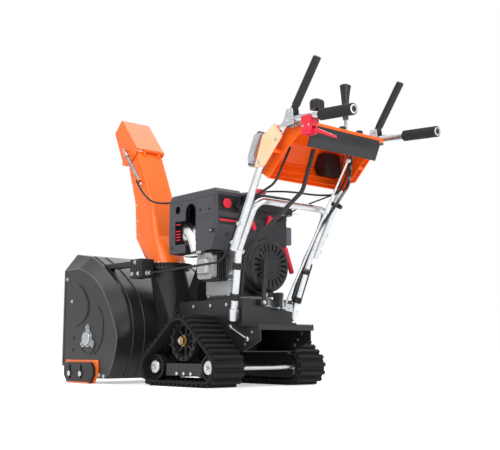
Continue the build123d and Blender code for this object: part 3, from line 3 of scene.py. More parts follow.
import bpy
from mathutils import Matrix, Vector


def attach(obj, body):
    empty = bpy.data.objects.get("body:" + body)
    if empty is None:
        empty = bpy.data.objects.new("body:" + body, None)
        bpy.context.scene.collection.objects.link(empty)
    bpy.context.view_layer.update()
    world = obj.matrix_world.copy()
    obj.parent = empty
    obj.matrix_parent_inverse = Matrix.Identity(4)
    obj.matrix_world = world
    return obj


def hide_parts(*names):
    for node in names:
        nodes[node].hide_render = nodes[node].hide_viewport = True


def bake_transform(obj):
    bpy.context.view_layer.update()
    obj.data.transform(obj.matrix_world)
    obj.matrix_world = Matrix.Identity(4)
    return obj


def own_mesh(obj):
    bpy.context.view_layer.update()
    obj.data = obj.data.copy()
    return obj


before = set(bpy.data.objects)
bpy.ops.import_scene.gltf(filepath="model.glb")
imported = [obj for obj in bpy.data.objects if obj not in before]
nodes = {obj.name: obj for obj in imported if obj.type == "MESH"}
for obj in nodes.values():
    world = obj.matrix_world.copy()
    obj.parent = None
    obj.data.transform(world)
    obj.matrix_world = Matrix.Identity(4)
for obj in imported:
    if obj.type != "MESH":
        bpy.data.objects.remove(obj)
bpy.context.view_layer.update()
bpy.ops.object.select_all(action="DESELECT")

# The studio: a white sweep with soft light from the left, from above and from behind.
# The camera stands low behind the machine's left side and looks slightly up, as in the photograph.


def colour(text):
    """Linear colour of an sRGB hex value."""
    channels = [int(text[i : i + 2], 16) / 255 for i in (1, 3, 5)]
    return [c / 12.92 if c <= 0.04045 else ((c + 0.055) / 1.055) ** 2.4 for c in channels] + [1.0]


def add(tree, kind, sockets=None, **settings):
    """Add a node, set its options, then set or link its sockets."""
    node = tree.nodes.new(kind)
    for name, value in settings.items():
        setattr(node, name, value)
    for name, value in (sockets or {}).items():
        if isinstance(value, bpy.types.NodeSocket):
            tree.links.new(value, node.inputs[name])
        else:
            node.inputs[name].default_value = value
    return node


def seen_rays(tree):
    """1 for the camera, glossy and transmission rays that see the white studio, 0 for the rays that light."""
    ray = add(tree, "ShaderNodeLightPath").outputs
    seen = ray["Is Camera Ray"]
    for kind in ("Is Glossy Ray", "Is Transmission Ray"):
        seen = add(tree, "ShaderNodeMath", {0: seen, 1: ray[kind]}, operation="MAXIMUM").outputs[0]
    return seen


CAMERA_PLACE = (-2.2642, -2.6460, 0.1396)
CAMERA_YAW = 41.03
CAMERA_PITCH = 8.277
FOCAL_PIXELS = 858.83
IMAGE_WIDTH = 500
SENSOR = 36

camera_data = bpy.data.cameras.new("camera")
camera_data.sensor_width = SENSOR
camera_data.lens = FOCAL_PIXELS / IMAGE_WIDTH * SENSOR
camera = bpy.data.objects.new("camera", camera_data)
camera.location = CAMERA_PLACE
camera.rotation_euler = (math.radians(90 + CAMERA_PITCH), 0, math.radians(-CAMERA_YAW))
bpy.context.scene.collection.objects.link(camera)
bpy.context.scene.camera = camera
bpy.context.scene.view_settings.view_transform = "Standard"

SKY_LIGHT = 0.6
world = bpy.data.worlds.new("studio")
bpy.context.scene.world = world
world.use_nodes = True
sky = world.node_tree
sky.nodes.clear()
lit = add(sky, "ShaderNodeBackground", {"Color": colour("#ffffff"), "Strength": SKY_LIGHT})
shown = add(sky, "ShaderNodeBackground", {"Color": colour("#ffffff"), "Strength": 1.0})
both = add(sky, "ShaderNodeMixShader", {0: seen_rays(sky), 1: lit.outputs[0], 2: shown.outputs[0]})
add(sky, "ShaderNodeOutputWorld", {"Surface": both.outputs[0]})

FLOOR_GLOW = 0.48
FLOOR_WIDE, FLOOR_DROP = 60, 0.0005
bpy.ops.mesh.primitive_plane_add(size=FLOOR_WIDE, location=(0, 0, -FLOOR_DROP))
floor = bpy.context.object
floor.name = "floor"
floor_paint = bpy.data.materials.new("white sweep")
floor_paint.use_nodes = True
floor_tree = floor_paint.node_tree
floor_shader = floor_tree.nodes["Principled BSDF"]
floor_shader.inputs["Base Color"].default_value = colour("#fafafa")
floor_shader.inputs["Roughness"].default_value = 0.9
floor_shader.inputs["Specular IOR Level"].default_value = 0.1
floor_shader.inputs["Emission Color"].default_value = colour("#ffffff")
glow = add(floor_tree, "ShaderNodeMath", {0: seen_rays(floor_tree), 1: FLOOR_GLOW}, operation="MULTIPLY")
floor_tree.links.new(glow.outputs[0], floor_shader.inputs["Emission Strength"])
floor.data.materials.append(floor_paint)

for name, place, aim, width, power in (
    ("key light", (-3.2, -1.6, 2.9), (0, 0, 0.5), 2.6, 84),
    ("top light", (0.4, 0.6, 3.6), (0, 0, 0.5), 2.8, 52),
    ("back light", (2.8, 2.6, 2.2), (0, 0, 0.6), 2.2, 36),
    ("low fill", (0.6, -3.6, 1.2), (0, 0, 0.5), 2.4, 36),
):
    lamp_data = bpy.data.lights.new(name, "AREA")
    lamp_data.size = width
    lamp_data.energy = power
    lamp = bpy.data.objects.new(name, lamp_data)
    lamp.location = place
    way = [a - b for a, b in zip(place, aim)]
    flat = math.hypot(way[0], way[1])
    lamp.rotation_euler = (math.atan2(flat, way[2]), 0, math.atan2(way[0], -way[1]))
    bpy.context.scene.collection.objects.link(lamp)

# Tracks: moulded black rubber belts with cross lugs, one moulding each, hung on the wheels.
# The rubber is dull and a little chalky, with brown-grey scuffs where the lugs have rolled.
EDGE_ROUNDING = 0.0012
HAIR = 0.0005
SHADER_INPUTS = {
    "specular": "Specular IOR Level",
    "metallic": "Metallic",
    "coat_weight": "Coat Weight",
    "coat_roughness": "Coat Roughness",
}


def start_finish(name, deep, pale, patch_mm, grain_mm, grain_high_mm, smooth, rough, **levels):
    """A surface whose colour and gloss vary in faint patches under a fine grain, on object coordinates."""
    material = bpy.data.materials.new(name)
    material.use_nodes = True
    tree = material.node_tree
    shader = tree.nodes["Principled BSDF"]
    place = add(tree, "ShaderNodeTexCoord").outputs["Object"]
    patchy = {"Vector": place, "Scale": 1000 / patch_mm, "Detail": 5.0}
    patches = add(tree, "ShaderNodeTexNoise", patchy).outputs[0]
    tint = add(tree, "ShaderNodeMix", {0: patches, 6: colour(deep), 7: colour(pale)}, data_type="RGBA")
    tree.links.new(tint.outputs[2], shader.inputs["Base Color"])
    gloss = add(tree, "ShaderNodeMapRange", {"Value": patches, "To Min": smooth, "To Max": rough})
    tree.links.new(gloss.outputs[0], shader.inputs["Roughness"])
    grainy = {"Vector": place, "Scale": 1000 / grain_mm, "Detail": 3.0}
    grain = add(tree, "ShaderNodeTexNoise", grainy).outputs[0]
    edge = add(tree, "ShaderNodeBevel", {"Radius": EDGE_ROUNDING}, samples=4).outputs[0]
    relief = {"Height": grain, "Distance": grain_high_mm / 1000, "Normal": edge}
    tree.links.new(add(tree, "ShaderNodeBump", relief).outputs[0], shader.inputs["Normal"])
    for level, value in levels.items():
        shader.inputs[SHADER_INPUTS[level]].default_value = value
    return material, tree, shader, place


def wear(tree, shader, mask, low, high, most, text):
    """Lay another colour over the finish where the mask rises from low to high."""
    under = shader.inputs["Base Color"].links[0].from_socket
    ramp = {"Value": mask, "From Min": low, "From Max": high, "To Max": most}
    share = add(tree, "ShaderNodeMapRange", ramp).outputs[0]
    over = {0: share, 6: under, 7: colour(text)}
    tree.links.new(add(tree, "ShaderNodeMix", over, data_type="RGBA").outputs[2], shader.inputs["Base Color"])


def raise_pattern(tree, shader, height, high_mm):
    """Raise another pattern over the relief that the finish already has."""
    under = shader.inputs["Normal"].links[0].from_socket
    relief = {"Height": height, "Distance": high_mm / 1000, "Normal": under}
    tree.links.new(add(tree, "ShaderNodeBump", relief).outputs[0], shader.inputs["Normal"])


def coat(name, *materials):
    """Give a CAD node its finishes in order, the first one all over."""
    node = nodes[name]
    node.data.materials.clear()
    for material in materials:
        node.data.materials.append(material)
    for face in node.data.polygons:
        face.material_index = 0
    return node


def pick(node, index, test):
    """Use the finish of that index on the faces whose middle passes the test."""
    for face in node.data.polygons:
        if test(face.center):
            face.material_index = index


TRACK_RUBBER, tree, shader, place = start_finish(
    "moulded track rubber", "#131212", "#211f1e", 26, 2.2, 0.35, 0.66, 0.88, specular=0.25
)
SCUFF_MM = 9
scuffy = {"Vector": place, "Scale": 1000 / SCUFF_MM, "Detail": 6.0, "Roughness": 0.7}
scuffs = add(tree, "ShaderNodeTexNoise", scuffy).outputs[0]
wear(tree, shader, scuffs, 0.56, 0.74, 0.45, "#46403b")
for name in ("left_track", "right_track"):
    coat(name, TRACK_RUBBER)

# Wheels inside the tracks: black castings. Each idler has a bright zinc cap with a centre bolt,
# and each drive wheel has a yellow passivated castle nut on its axle.


def only(piece):
    """Select that piece alone."""
    bpy.ops.object.select_all(action="DESELECT")
    piece.select_set(True)
    bpy.context.view_layer.objects.active = piece


def settled(piece):
    """Put the piece's place and turn into its mesh."""
    only(piece)
    bpy.ops.object.transform_apply(location=True, rotation=True, scale=True)
    return piece


def joined(pieces):
    """One object from several."""
    for piece in pieces:
        settled(piece)
    bpy.ops.object.select_all(action="DESELECT")
    for piece in pieces:
        piece.select_set(True)
    bpy.context.view_layer.objects.active = pieces[0]
    bpy.ops.object.join()
    return bpy.context.object


def seat(piece, name, material, body="chassis", smooth_angle=35):
    """Give a piece, or a list joined into one, its name and finish and let it ride on its body, if any."""
    if isinstance(piece, list):
        piece = joined(piece)
    settled(piece)
    piece.name = name
    piece.data.name = name
    bpy.ops.object.shade_smooth_by_angle(angle=math.radians(smooth_angle))
    piece.data.materials.clear()
    piece.data.materials.append(material)
    if body:
        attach(piece, body)
    return piece


def turned(radius, length, place, way, rounding, dish=0.0, sides=40):
    """A turned disc along an axis, its ends rounded, with a dished outer face where a depth is given."""
    bpy.ops.object.select_all(action="DESELECT")
    bpy.ops.mesh.primitive_cylinder_add(vertices=sides, radius=radius, depth=length)
    piece = bpy.context.object
    bpy.ops.object.mode_set(mode="EDIT")
    bpy.ops.mesh.select_mode(type="FACE")
    bpy.ops.mesh.select_all(action="DESELECT")
    bpy.ops.object.mode_set(mode="OBJECT")
    for face in piece.data.polygons:
        face.select = abs(face.normal.z) > 0.9
    bpy.ops.object.mode_set(mode="EDIT")
    bpy.ops.mesh.bevel(offset=rounding, segments=3)
    bpy.ops.mesh.select_all(action="DESELECT")
    bpy.ops.object.mode_set(mode="OBJECT")
    if dish:
        for face in piece.data.polygons:
            face.select = face.normal.z > 0.95 and face.center.z > length / 2 - 1e-5
        bpy.ops.object.mode_set(mode="EDIT")
        bpy.ops.mesh.inset(thickness=radius * 0.3, depth=0)
        bpy.ops.mesh.inset(thickness=radius * 0.08, depth=-dish)
        bpy.ops.object.mode_set(mode="OBJECT")
    piece.rotation_euler = Vector(way).to_track_quat("Z", "Y").to_euler()
    piece.location = place
    return piece


WASHER_SHARE = 0.78
WASHER_THICK, WASHER_SUNK = 0.0024, 0.0008


def bolt(across, height, place, way):
    """A hexagon head on a washer, standing on a face at that place."""
    way = Vector(way).normalized()
    foot = Vector(place)
    washer_middle = foot + way * (WASHER_THICK / 2 - WASHER_SUNK)
    washer = turned(across * WASHER_SHARE, WASHER_THICK, washer_middle, way, 0.0005)
    head_middle = foot + way * ((WASHER_THICK + height) / 2)
    head = turned(across / math.sqrt(3), height, head_middle, way, 0.0008, 0, 6)
    return joined([washer, head])


BLACK_CASTING = start_finish(
    "black painted casting", "#18181a", "#242427", 18, 3.0, 0.2, 0.46, 0.62, specular=0.3
)[0]
ZINC, tree, shader, place = start_finish(
    "bright zinc plate", "#b6babd", "#d8dadc", 34, 1.6, 0.03, 0.22, 0.36, metallic=1.0
)
SPANGLE_MM = 7
spangle = add(tree, "ShaderNodeTexVoronoi", {"Vector": place, "Scale": 1000 / SPANGLE_MM})
wear(tree, shader, spangle.outputs["Distance"], 0.35, 0.8, 0.3, "#8f989f")
YELLOW_STEEL = start_finish(
    "yellow passivated steel", "#937a4c", "#bfa679", 8, 1.5, 0.05, 0.28, 0.42, metallic=1.0
)[0]
SPROCKET_AXIS = (0.053, 0.175)
IDLER_AXES = {"front": (0.233, 0.073), "rear": (-0.112, 0.073)}
WHEEL_FACE, CAP_FACE = 0.258, 0.267
WHEEL_BACK = 0.150
HUB_NUT_R = 0.018
AXLE_R, AXLE_TIP, AXLE_SHOWN = 0.0075, 0.279, 0.010
CAP_BOLT = (0.013, 0.006)


def on_hub_nut(c):
    """Whether a point lies on the nut in the middle of a drive wheel."""
    from_axis = math.hypot(c.y - SPROCKET_AXIS[0], c.z - SPROCKET_AXIS[1])
    return abs(c.x) > WHEEL_FACE - HAIR and from_axis < HUB_NUT_R


for side, sign in (("left", -1), ("right", 1)):
    wheel = coat(f"{side}_sprocket", BLACK_CASTING, YELLOW_STEEL, ZINC)
    pick(wheel, 1, on_hub_nut)
    pick(wheel, 2, lambda c: abs(c.x) < WHEEL_BACK)
    axle_middle = (sign * (AXLE_TIP - AXLE_SHOWN / 2), *SPROCKET_AXIS)
    axle_end = turned(AXLE_R, AXLE_SHOWN, axle_middle, (sign, 0, 0), 0.0015, 0.002)
    seat(axle_end, f"{side}_axle_end", ZINC, f"{side}_drive")
    for end, axis in IDLER_AXES.items():
        idler = coat(f"{side}_{end}_idler", BLACK_CASTING, ZINC)
        pick(idler, 1, lambda c: abs(c.x) > WHEEL_FACE + HAIR)
        centre = bolt(*CAP_BOLT, (sign * (CAP_FACE - 0.0002), *axis), (sign, 0, 0))
        seat(centre, f"{side}_{end}_cap_bolt", ZINC, f"{side}_{end}_wheel")

# Track frames, chassis and belt cover: folded and welded sheet, powder coated satin black, which gives
# a faint orange peel and soft, broad highlights. The bar between the frames and the bolts are bright zinc.
BLACK_SHEET, tree, shader, place = start_finish(
    "satin black powder coat", "#1b1b1e", "#27272a", 60, 2.6, 0.12, 0.3, 0.42,
    specular=0.32, coat_weight=0.08, coat_roughness=0.25,
)
DUST_MM = 150
dust = add(tree, "ShaderNodeTexNoise", {"Vector": place, "Scale": 1000 / DUST_MM, "Detail": 7.0})
wear(tree, shader, dust.outputs[0], 0.5, 0.8, 0.25, "#3a3938")
CROSS_BAR, CROSS_BAR_R = (-0.138, 0.073), 0.009
FRAME_FACE = 0.250
LEG_FOOT = Vector((0.152, -0.122, 0.262))
LEG_WAY = Vector((0.138, -0.2835, 0.949))
SOCKET_R = 0.019
SOCKET_BELOW, SOCKET_ABOVE = -0.012, 0.036


def on_plated_bar(c):
    """Whether a point lies on the bar between the track frames, or on a bolt outside them."""
    from_bar = math.hypot(c.y - CROSS_BAR[0], c.z - CROSS_BAR[1])
    return from_bar < CROSS_BAR_R + HAIR or abs(c.x) > FRAME_FACE + HAIR


def on_socket(c):
    """Whether a point lies on the cup that holds the foot of a leg."""
    reach = Vector((abs(c.x), c.y, c.z)) - LEG_FOOT
    along = reach.dot(LEG_WAY)
    from_leg = (reach - LEG_WAY * along).length
    return SOCKET_BELOW < along < SOCKET_ABOVE and from_leg < SOCKET_R + HAIR


frames = coat("track_frames", BLACK_SHEET, ZINC)
pick(frames, 1, on_plated_bar)
chassis = coat("chassis_frame", BLACK_SHEET, ZINC)
pick(chassis, 1, on_socket)
coat("belt_cover", BLACK_SHEET)
coat("fasteners", ZINC)

# Rear step and chassis rear: a folded tread whose rear edge is sheared into teeth, an upright black bar,
# a plated stay beside the right leg's foot, and bolts through the panels.


def as_mesh(curve):
    """Turn a curve into a mesh object in the scene."""
    piece = bpy.data.objects.new(curve.name, curve)
    bpy.context.scene.collection.objects.link(piece)
    only(piece)
    bpy.ops.object.convert(target="MESH")
    return bpy.context.object


def plate(points, thickness, rounding, kind="POLY"):
    """A flat plate with rounded edges, drawn in its own plane and centred on it."""
    curve = bpy.data.curves.new("plate", "CURVE")
    curve.dimensions = "2D"
    curve.fill_mode = "BOTH"
    curve.extrude = thickness / 2 - rounding
    curve.bevel_depth = rounding
    curve.bevel_resolution = 2
    line = curve.splines.new(kind)
    line.points.add(len(points) - 1)
    for point, (across, up) in zip(line.points, points):
        point.co = (across, up, 0, 1)
    if kind == "NURBS":
        line.order_u = 3
    line.use_cyclic_u = True
    return as_mesh(curve)


def side_plate(points, thickness, rounding, x, kind="POLY"):
    """A plate drawn in side view (Y, Z), its middle at that X."""
    piece = plate(points, thickness, rounding, kind)
    piece.rotation_euler = (math.pi / 2, 0, math.pi / 2)
    piece.location.x = x
    return settled(piece)


def rear_plate(points, thickness, rounding, y):
    """A plate drawn in rear view (X, Z), its middle at that Y."""
    piece = plate(points, thickness, rounding)
    piece.rotation_euler = (math.pi / 2, 0, 0)
    piece.location.y = y
    return settled(piece)


def slab(low, high, rounding):
    """A block between two corners, with its edges rounded."""
    bpy.ops.object.select_all(action="DESELECT")
    bpy.ops.mesh.primitive_cube_add(size=1, location=[(a + b) / 2 for a, b in zip(low, high)])
    piece = bpy.context.object
    piece.scale = [b - a for a, b in zip(low, high)]
    settled(piece)
    bpy.ops.object.mode_set(mode="EDIT")
    bpy.ops.mesh.select_all(action="SELECT")
    bpy.ops.mesh.bevel(offset=rounding, segments=2)
    bpy.ops.object.mode_set(mode="OBJECT")
    return piece


STEP_HALF, STEP_TOP, STEP_EDGE = 0.145, 0.232, -0.2572
STEP_SHEET = 0.003
TEETH, TOOTH_HIGH, TOOTH_ROOT = 24, 0.006, 0.004
tooth = 2 * STEP_HALF / TEETH
saw = [(STEP_HALF, STEP_TOP - TOOTH_ROOT), (-STEP_HALF, STEP_TOP - TOOTH_ROOT)]
for i in range(TEETH):
    for share, up in ((0.1, 0), (0.35, TOOTH_HIGH), (0.65, TOOTH_HIGH), (0.9, 0)):
        saw.append((tooth * (i + share) - STEP_HALF, STEP_TOP + up))
step_teeth = rear_plate(saw, STEP_SHEET, 0.0004, STEP_EDGE + 0.002)
seat(step_teeth, "step_teeth", BLACK_SHEET)
PANEL_BOLT = (0.010, 0.004)
CHASSIS_SIDE, CHASSIS_REAR = 0.1275, -0.150
SIDE_BOLTS = ((-0.205, 0.205), (-0.165, 0.160), (0.170, 0.230))
panel_bolts = [
    bolt(*PANEL_BOLT, (sign * CHASSIS_SIDE, *spot), (sign, 0, 0)) for sign in (-1, 1) for spot in SIDE_BOLTS
]
BAR_OUTLINE = (
    (-0.0425, 0.318), (-0.0295, 0.318), (-0.0185, 0.488),
    (-0.0220, 0.494), (-0.0280, 0.494), (-0.0315, 0.488),
)
BAR_THICK = 0.010
bar = rear_plate(BAR_OUTLINE, BAR_THICK, 0.002, CHASSIS_REAR - 0.015)
bar_seat = slab((-0.054, CHASSIS_REAR - 0.022, 0.310), (-0.018, CHASSIS_REAR + 0.001, 0.330), 0.002)
seat([bar, bar_seat], "upright_bar", BLACK_SHEET)
LEG_STAY = ((-0.018, 0.331), (0.026, 0.331), (0.131, 0.318), (0.131, 0.290), (0.060, 0.300), (-0.018, 0.310))
leg_stay = rear_plate(LEG_STAY, 0.004, 0.001, CHASSIS_REAR - 0.0025)
for x, behind, z in ((-0.036, 0.0219, 0.322), (0.112, 0.0044, 0.307)):
    panel_bolts.append(bolt(*PANEL_BOLT, (x, CHASSIS_REAR - behind, z), (0, -1, 0)))
seat([*panel_bolts, leg_stay], "chassis_bolts", ZINC)

# Chassis links: a plated rod with a ball joint at each end, outside each side plate.
# They pull the drive release and are clipped on by their ball studs.
LINK_X = 0.1375
LINK_ENDS = ((-0.088, 0.226), (-0.186, 0.180))
LINK_R, BALL_R, STUD_R = 0.0052, 0.0105, 0.0045
BALL_WIDE, STUD_LONG, STUD_INWARD = 0.012, 0.012, 0.009
links = []
for sign in (-1, 1):
    top, foot = [Vector((sign * LINK_X, *end)) for end in LINK_ENDS]
    links.append(turned(LINK_R, (foot - top).length, (top + foot) / 2, foot - top, 0.001))
    for end in (top, foot):
        links.append(turned(BALL_R, BALL_WIDE, end, (sign, 0, 0), 0.004))
        inward = Vector((sign * STUD_INWARD, 0, 0))
        links.append(turned(STUD_R, STUD_LONG, end - inward, (sign, 0, 0), 0.0008))
seat(links, "chassis_links", ZINC)

# Auger housing and impeller drum: pressed and welded sheet in the same powder coat. The press forms
# a crescent, rims and ribs in the side plates, whose folded edge is painted pale grey as a highlight. Bolts
# close the seams.


def bead(points, radius, kind="NURBS"):
    """A round bead along points in metres."""
    curve = bpy.data.curves.new("bead", "CURVE")
    curve.dimensions = "3D"
    curve.bevel_depth = radius
    curve.bevel_resolution = 3
    curve.use_fill_caps = True
    line = curve.splines.new(kind)
    line.points.add(len(points) - 1)
    for point, place in zip(line.points, points):
        point.co = (*place, 1)
    if kind == "NURBS":
        line.order_u = 3
        line.use_endpoint_u = True
    return as_mesh(curve)


def arc_through(start, middle, end, steps):
    """Points in a plane on the arc through three points."""
    (ax, ay), (bx, by), (cx, cy) = start, middle, end
    d = 2 * (ax * (by - cy) + bx * (cy - ay) + cx * (ay - by))
    a2, b2, c2 = ax * ax + ay * ay, bx * bx + by * by, cx * cx + cy * cy
    ox = (a2 * (by - cy) + b2 * (cy - ay) + c2 * (ay - by)) / d
    oy = (a2 * (cx - bx) + b2 * (ax - cx) + c2 * (bx - ax)) / d
    radius = math.hypot(ax - ox, ay - oy)
    first = math.atan2(ay - oy, ax - ox)
    turn_mid = (math.atan2(by - oy, bx - ox) - first) % (2 * math.pi)
    turn_end = (math.atan2(cy - oy, cx - ox) - first) % (2 * math.pi)
    if turn_mid > turn_end:
        turn_end -= 2 * math.pi
    angles = [first + turn_end * i / steps for i in range(steps + 1)]
    return [(ox + radius * math.cos(a), oy + radius * math.sin(a)) for a in angles]


for name in ("auger_housing", "impeller_housing", "scraper_bar"):
    coat(name, BLACK_SHEET)
# The fold and edge beads are painted pale grey as a highlight along the plate's edge.
EDGE_HIGHLIGHT_SHEET = start_finish("powder coat painted edge highlight", "#434347", "#626266", 30, 2.6, 0.1, 0.26, 0.38)[0]
INTAKE_HALF = 0.358
CRESCENT = (
    (0.715, 0.425), (0.665, 0.414), (0.622, 0.374), (0.597, 0.324), (0.612, 0.283), (0.660, 0.256),
    (0.735, 0.240), (0.700, 0.268), (0.668, 0.300), (0.660, 0.340), (0.668, 0.378), (0.690, 0.406),
)
CRESCENT_THICK, CRESCENT_ROUND = 0.012, 0.005
HUB_RIM = arc_through((0.658, 0.160), (0.598, 0.122), (0.534, 0.170), 14)
REAR_ARC = arc_through((0.528, 0.325), (0.482, 0.200), (0.546, 0.124), 20)
HUB_RIM_R, REAR_ARC_R = 0.0035, 0.004
MARK = ((0.708, 0), (0.742, 0.006), (0.776, -0.003), (0.742, -0.010))
MARK_HEIGHTS = (0.192, 0.141)
MARK_THICK, MARK_ROUND = 0.007, 0.003
FOLD_Y, FOLD_LOW, FOLD_HIGH, FOLD_R = 0.808, 0.082, 0.488, 0.004
EDGE_R, EDGE_SUNK = 0.0022, 0.0012
LOWER_BACK = ((0.370, 0.190), (0.390, 0.112), (0.445, 0.022))
PLATE_EDGE = (
    [(0.811, 0.492)]
    + arc_through((0.690, 0.493), (0.585, 0.455), (0.494, 0.391), 14)
    + arc_through((0.494, 0.391), (0.424, 0.300), LOWER_BACK[0], 14)[1:]
    + arc_through(*LOWER_BACK, 10)[1:-1]
)
for side, name in ((-1, "left"), (1, "right")):
    x = side * INTAKE_HALF
    pressings = [side_plate(CRESCENT, CRESCENT_THICK, CRESCENT_ROUND, x, "NURBS")]
    for line, radius in ((HUB_RIM, HUB_RIM_R), (REAR_ARC, REAR_ARC_R)):
        pressings.append(bead([(x, *p) for p in line], radius))
    for height in MARK_HEIGHTS:
        mark = [(y, height + up) for y, up in MARK]
        pressings.append(side_plate(mark, MARK_THICK, MARK_ROUND, x, "NURBS"))
    fold = bead([(x, FOLD_Y, FOLD_LOW), (x, FOLD_Y, FOLD_HIGH)], FOLD_R, "POLY")
    edge = bead([(x - side * EDGE_SUNK, *p) for p in PLATE_EDGE], EDGE_R, "POLY")
    seat([fold, edge], f"{name}_plate_rim", EDGE_HIGHLIGHT_SHEET)
    seat(pressings, f"{name}_plate_pressings", BLACK_SHEET)

WRAP_LINE = (
    arc_through((0.690, 0.550), (0.595, 0.503), (0.480, 0.424), 16)
    + arc_through((0.480, 0.424), (0.394, 0.318), LOWER_BACK[0], 16)[1:]
    + arc_through(*LOWER_BACK, 12)[1:-1]
)
WRAP_RIBS, WRAP_RIB_R = (-0.278, -0.222, 0.222, 0.278), 0.0045
ribs = [bead([(x, *p) for p in WRAP_LINE], WRAP_RIB_R, "POLY") for x in WRAP_RIBS]
seat(ribs, "wrap_ribs", BLACK_SHEET)
PLATE_BOLTS = ((0.788, 0.452), (0.500, 0.036), (0.465, 0.032), (0.742, 0.352))
housing_bolts = [
    bolt(*PANEL_BOLT, (side * INTAKE_HALF, *spot), (side, 0, 0)) for side in (-1, 1) for spot in PLATE_BOLTS
]
seat(housing_bolts, "housing_bolts", ZINC)

# Auger, impeller and their gear case: welded flights and fan in glossy orange enamel, a sand-cast case.
# The bearing covers outside the plates are pressed and dull zinc plated.
ORANGE_ENAMEL = start_finish(
    "orange enamel", "#ff6404", "#ff7814", 120, 4.0, 0.06, 0.24, 0.34,
    specular=0.35, coat_weight=0.2, coat_roughness=0.12,
)[0]
CAST_ALLOY, tree, shader, place = start_finish(
    "die-cast alloy", "#9c9ea0", "#cdcfd0", 14, 1.8, 0.18, 0.36, 0.56, metallic=0.9
)
# Dark speckles on the die-cast alloy are painted shade in its casting pits; the overlay below lays this
# painted shade, not wear.
PIT_SHADE_MM = 4
pit_shade = add(tree, "ShaderNodeTexNoise", {"Vector": place, "Scale": 1000 / PIT_SHADE_MM, "Detail": 4.0})
wear(tree, shader, pit_shade.outputs[0], 0.55, 0.8, 0.5, "#5d5f61")
DULL_ZINC = start_finish("dull zinc plate", "#92979b", "#c3c7ca", 16, 1.6, 0.06, 0.3, 0.48, metallic=1.0)[0]
coat("auger", ORANGE_ENAMEL)
coat("impeller", ORANGE_ENAMEL)
coat("auger_gearbox", CAST_ALLOY)
coat("auger_bearings", DULL_ZINC)
coat("crankshaft", ZINC)

# Skid shoes: an orange folded shoe with a black moulded wear pad bolted through two slots.
# The pad's plastic is matt and fine grained, and an orange wear strip closes its foot.
BLACK_PLASTIC = start_finish(
    "black moulded ABS", "#18181b", "#242428", 40, 1.2, 0.08, 0.38, 0.52, specular=0.32
)[0]
PAD_INNER, PAD_OUTER = 0.3623, 0.3763
STRIP_PROUD = 0.0008
STRIP_REAR, STRIP_FRONT = 0.553, 0.734
STRIP_LOW, STRIP_HIGH = 0.0002, 0.0062
for side, sign in (("left", -1), ("right", 1)):
    skid = coat(f"{side}_skid", ORANGE_ENAMEL, BLACK_PLASTIC)
    pick(skid, 1, lambda c: abs(c.x) > PAD_INNER + HAIR)
    low_x, high_x = sorted((sign * PAD_INNER, sign * (PAD_OUTER + STRIP_PROUD)))
    foot = slab((low_x, STRIP_REAR, STRIP_LOW), (high_x, STRIP_FRONT, STRIP_HIGH), 0.0006)
    seat(foot, f"{side}_skid_foot", ORANGE_ENAMEL, f"{side}_skid")

# Engine: a bright die-cast crankcase with ribs and cover bolts, a finned cylinder whose fins are dark with
# painted shade, and an aluminised exhaust box with its clamp and elbow, bolted on by a flange.
EXHAUST = start_finish("aluminised exhaust", "#cfd0d0", "#f0f0ee", 22, 2.0, 0.1, 0.22, 0.4, metallic=1.0)[0]
FIN_SHADE_ALLOY = start_finish("alloy with painted fin shade", "#1f1f21", "#2d2d2f", 16, 1.8, 0.15, 0.42, 0.58)[0]
CASE_FACE, COVER_FACE = -0.071, 0.111
EXHAUST_LOW, EXHAUST_SIDE = 0.5305, -0.080
FIN_OUTER, FIN_INNER = -0.1262, -0.075
engine = coat("engine_block", CAST_ALLOY, EXHAUST, FIN_SHADE_ALLOY)
pick(engine, 1, lambda c: c.z > EXHAUST_LOW and c.x < EXHAUST_SIDE)
# The cylinder's fins are coloured dark as painted shade between them.
pick(engine, 2, lambda c: c.z < EXHAUST_LOW and FIN_OUTER < c.x < FIN_INNER)
CASE_LOW, CASE_HIGH, FLANGE_HIGH = 0.352, 0.414, 0.010
CASE_RIBS, CASE_RIB_WIDE = (-0.040, -0.016), 0.006
case_inner = CASE_FACE + 0.002
case_ribs = []
for y in CASE_RIBS:
    low = (CASE_FACE - 0.005, y, CASE_LOW + FLANGE_HIGH)
    case_ribs.append(slab(low, (case_inner, y + CASE_RIB_WIDE, CASE_HIGH), 0.0015))
for z in (CASE_HIGH, CASE_LOW):
    case_ribs.append(slab((CASE_FACE - 0.007, -0.050, z), (case_inner, 0.002, z + FLANGE_HIGH), 0.002))
filler = turned(0.014, 0.030, (CASE_FACE - 0.008, -0.030, 0.440), (-1, 0, 0.5), 0.003)
seat([*case_ribs, filler], "crankcase_ribs", CAST_ALLOY)
SMALL_BOLT, FOOT_BOLT = (0.008, 0.004), (0.010, 0.005)
case_bolts = []
for y in (-0.044, -0.004):
    for z in (CASE_LOW + FLANGE_HIGH / 2, CASE_HIGH + FLANGE_HIGH / 2):
        case_bolts.append(bolt(*SMALL_BOLT, (CASE_FACE - 0.0068, y, z), (-1, 0, 0)))
for x in (-0.0765, 0.1155):
    for y in (-0.030, 0.125):
        case_bolts.append(bolt(*FOOT_BOLT, (x, y, CASE_LOW), (0, 0, 1)))
seat(case_bolts, "crankcase_bolts", ZINC)
dipstick = turned(0.013, 0.016, (COVER_FACE + 0.006, -0.047, 0.400), (1, -0.4, 0.5), 0.003, 0.002, 12)
seat(dipstick, "oil_filler_cap", BLACK_PLASTIC)
COVER_OUTLINE = (
    (-0.036, 0.372), (0.130, 0.372), (0.138, 0.392), (0.138, 0.486),
    (0.112, 0.524), (-0.012, 0.524), (-0.044, 0.486),
)
COVER_THICK = 0.014
COVER_RIBS, COVER_RIB_WIDE = (0.006, 0.046, 0.086), 0.005
cover = side_plate(COVER_OUTLINE, COVER_THICK, 0.0025, COVER_FACE + 0.003)
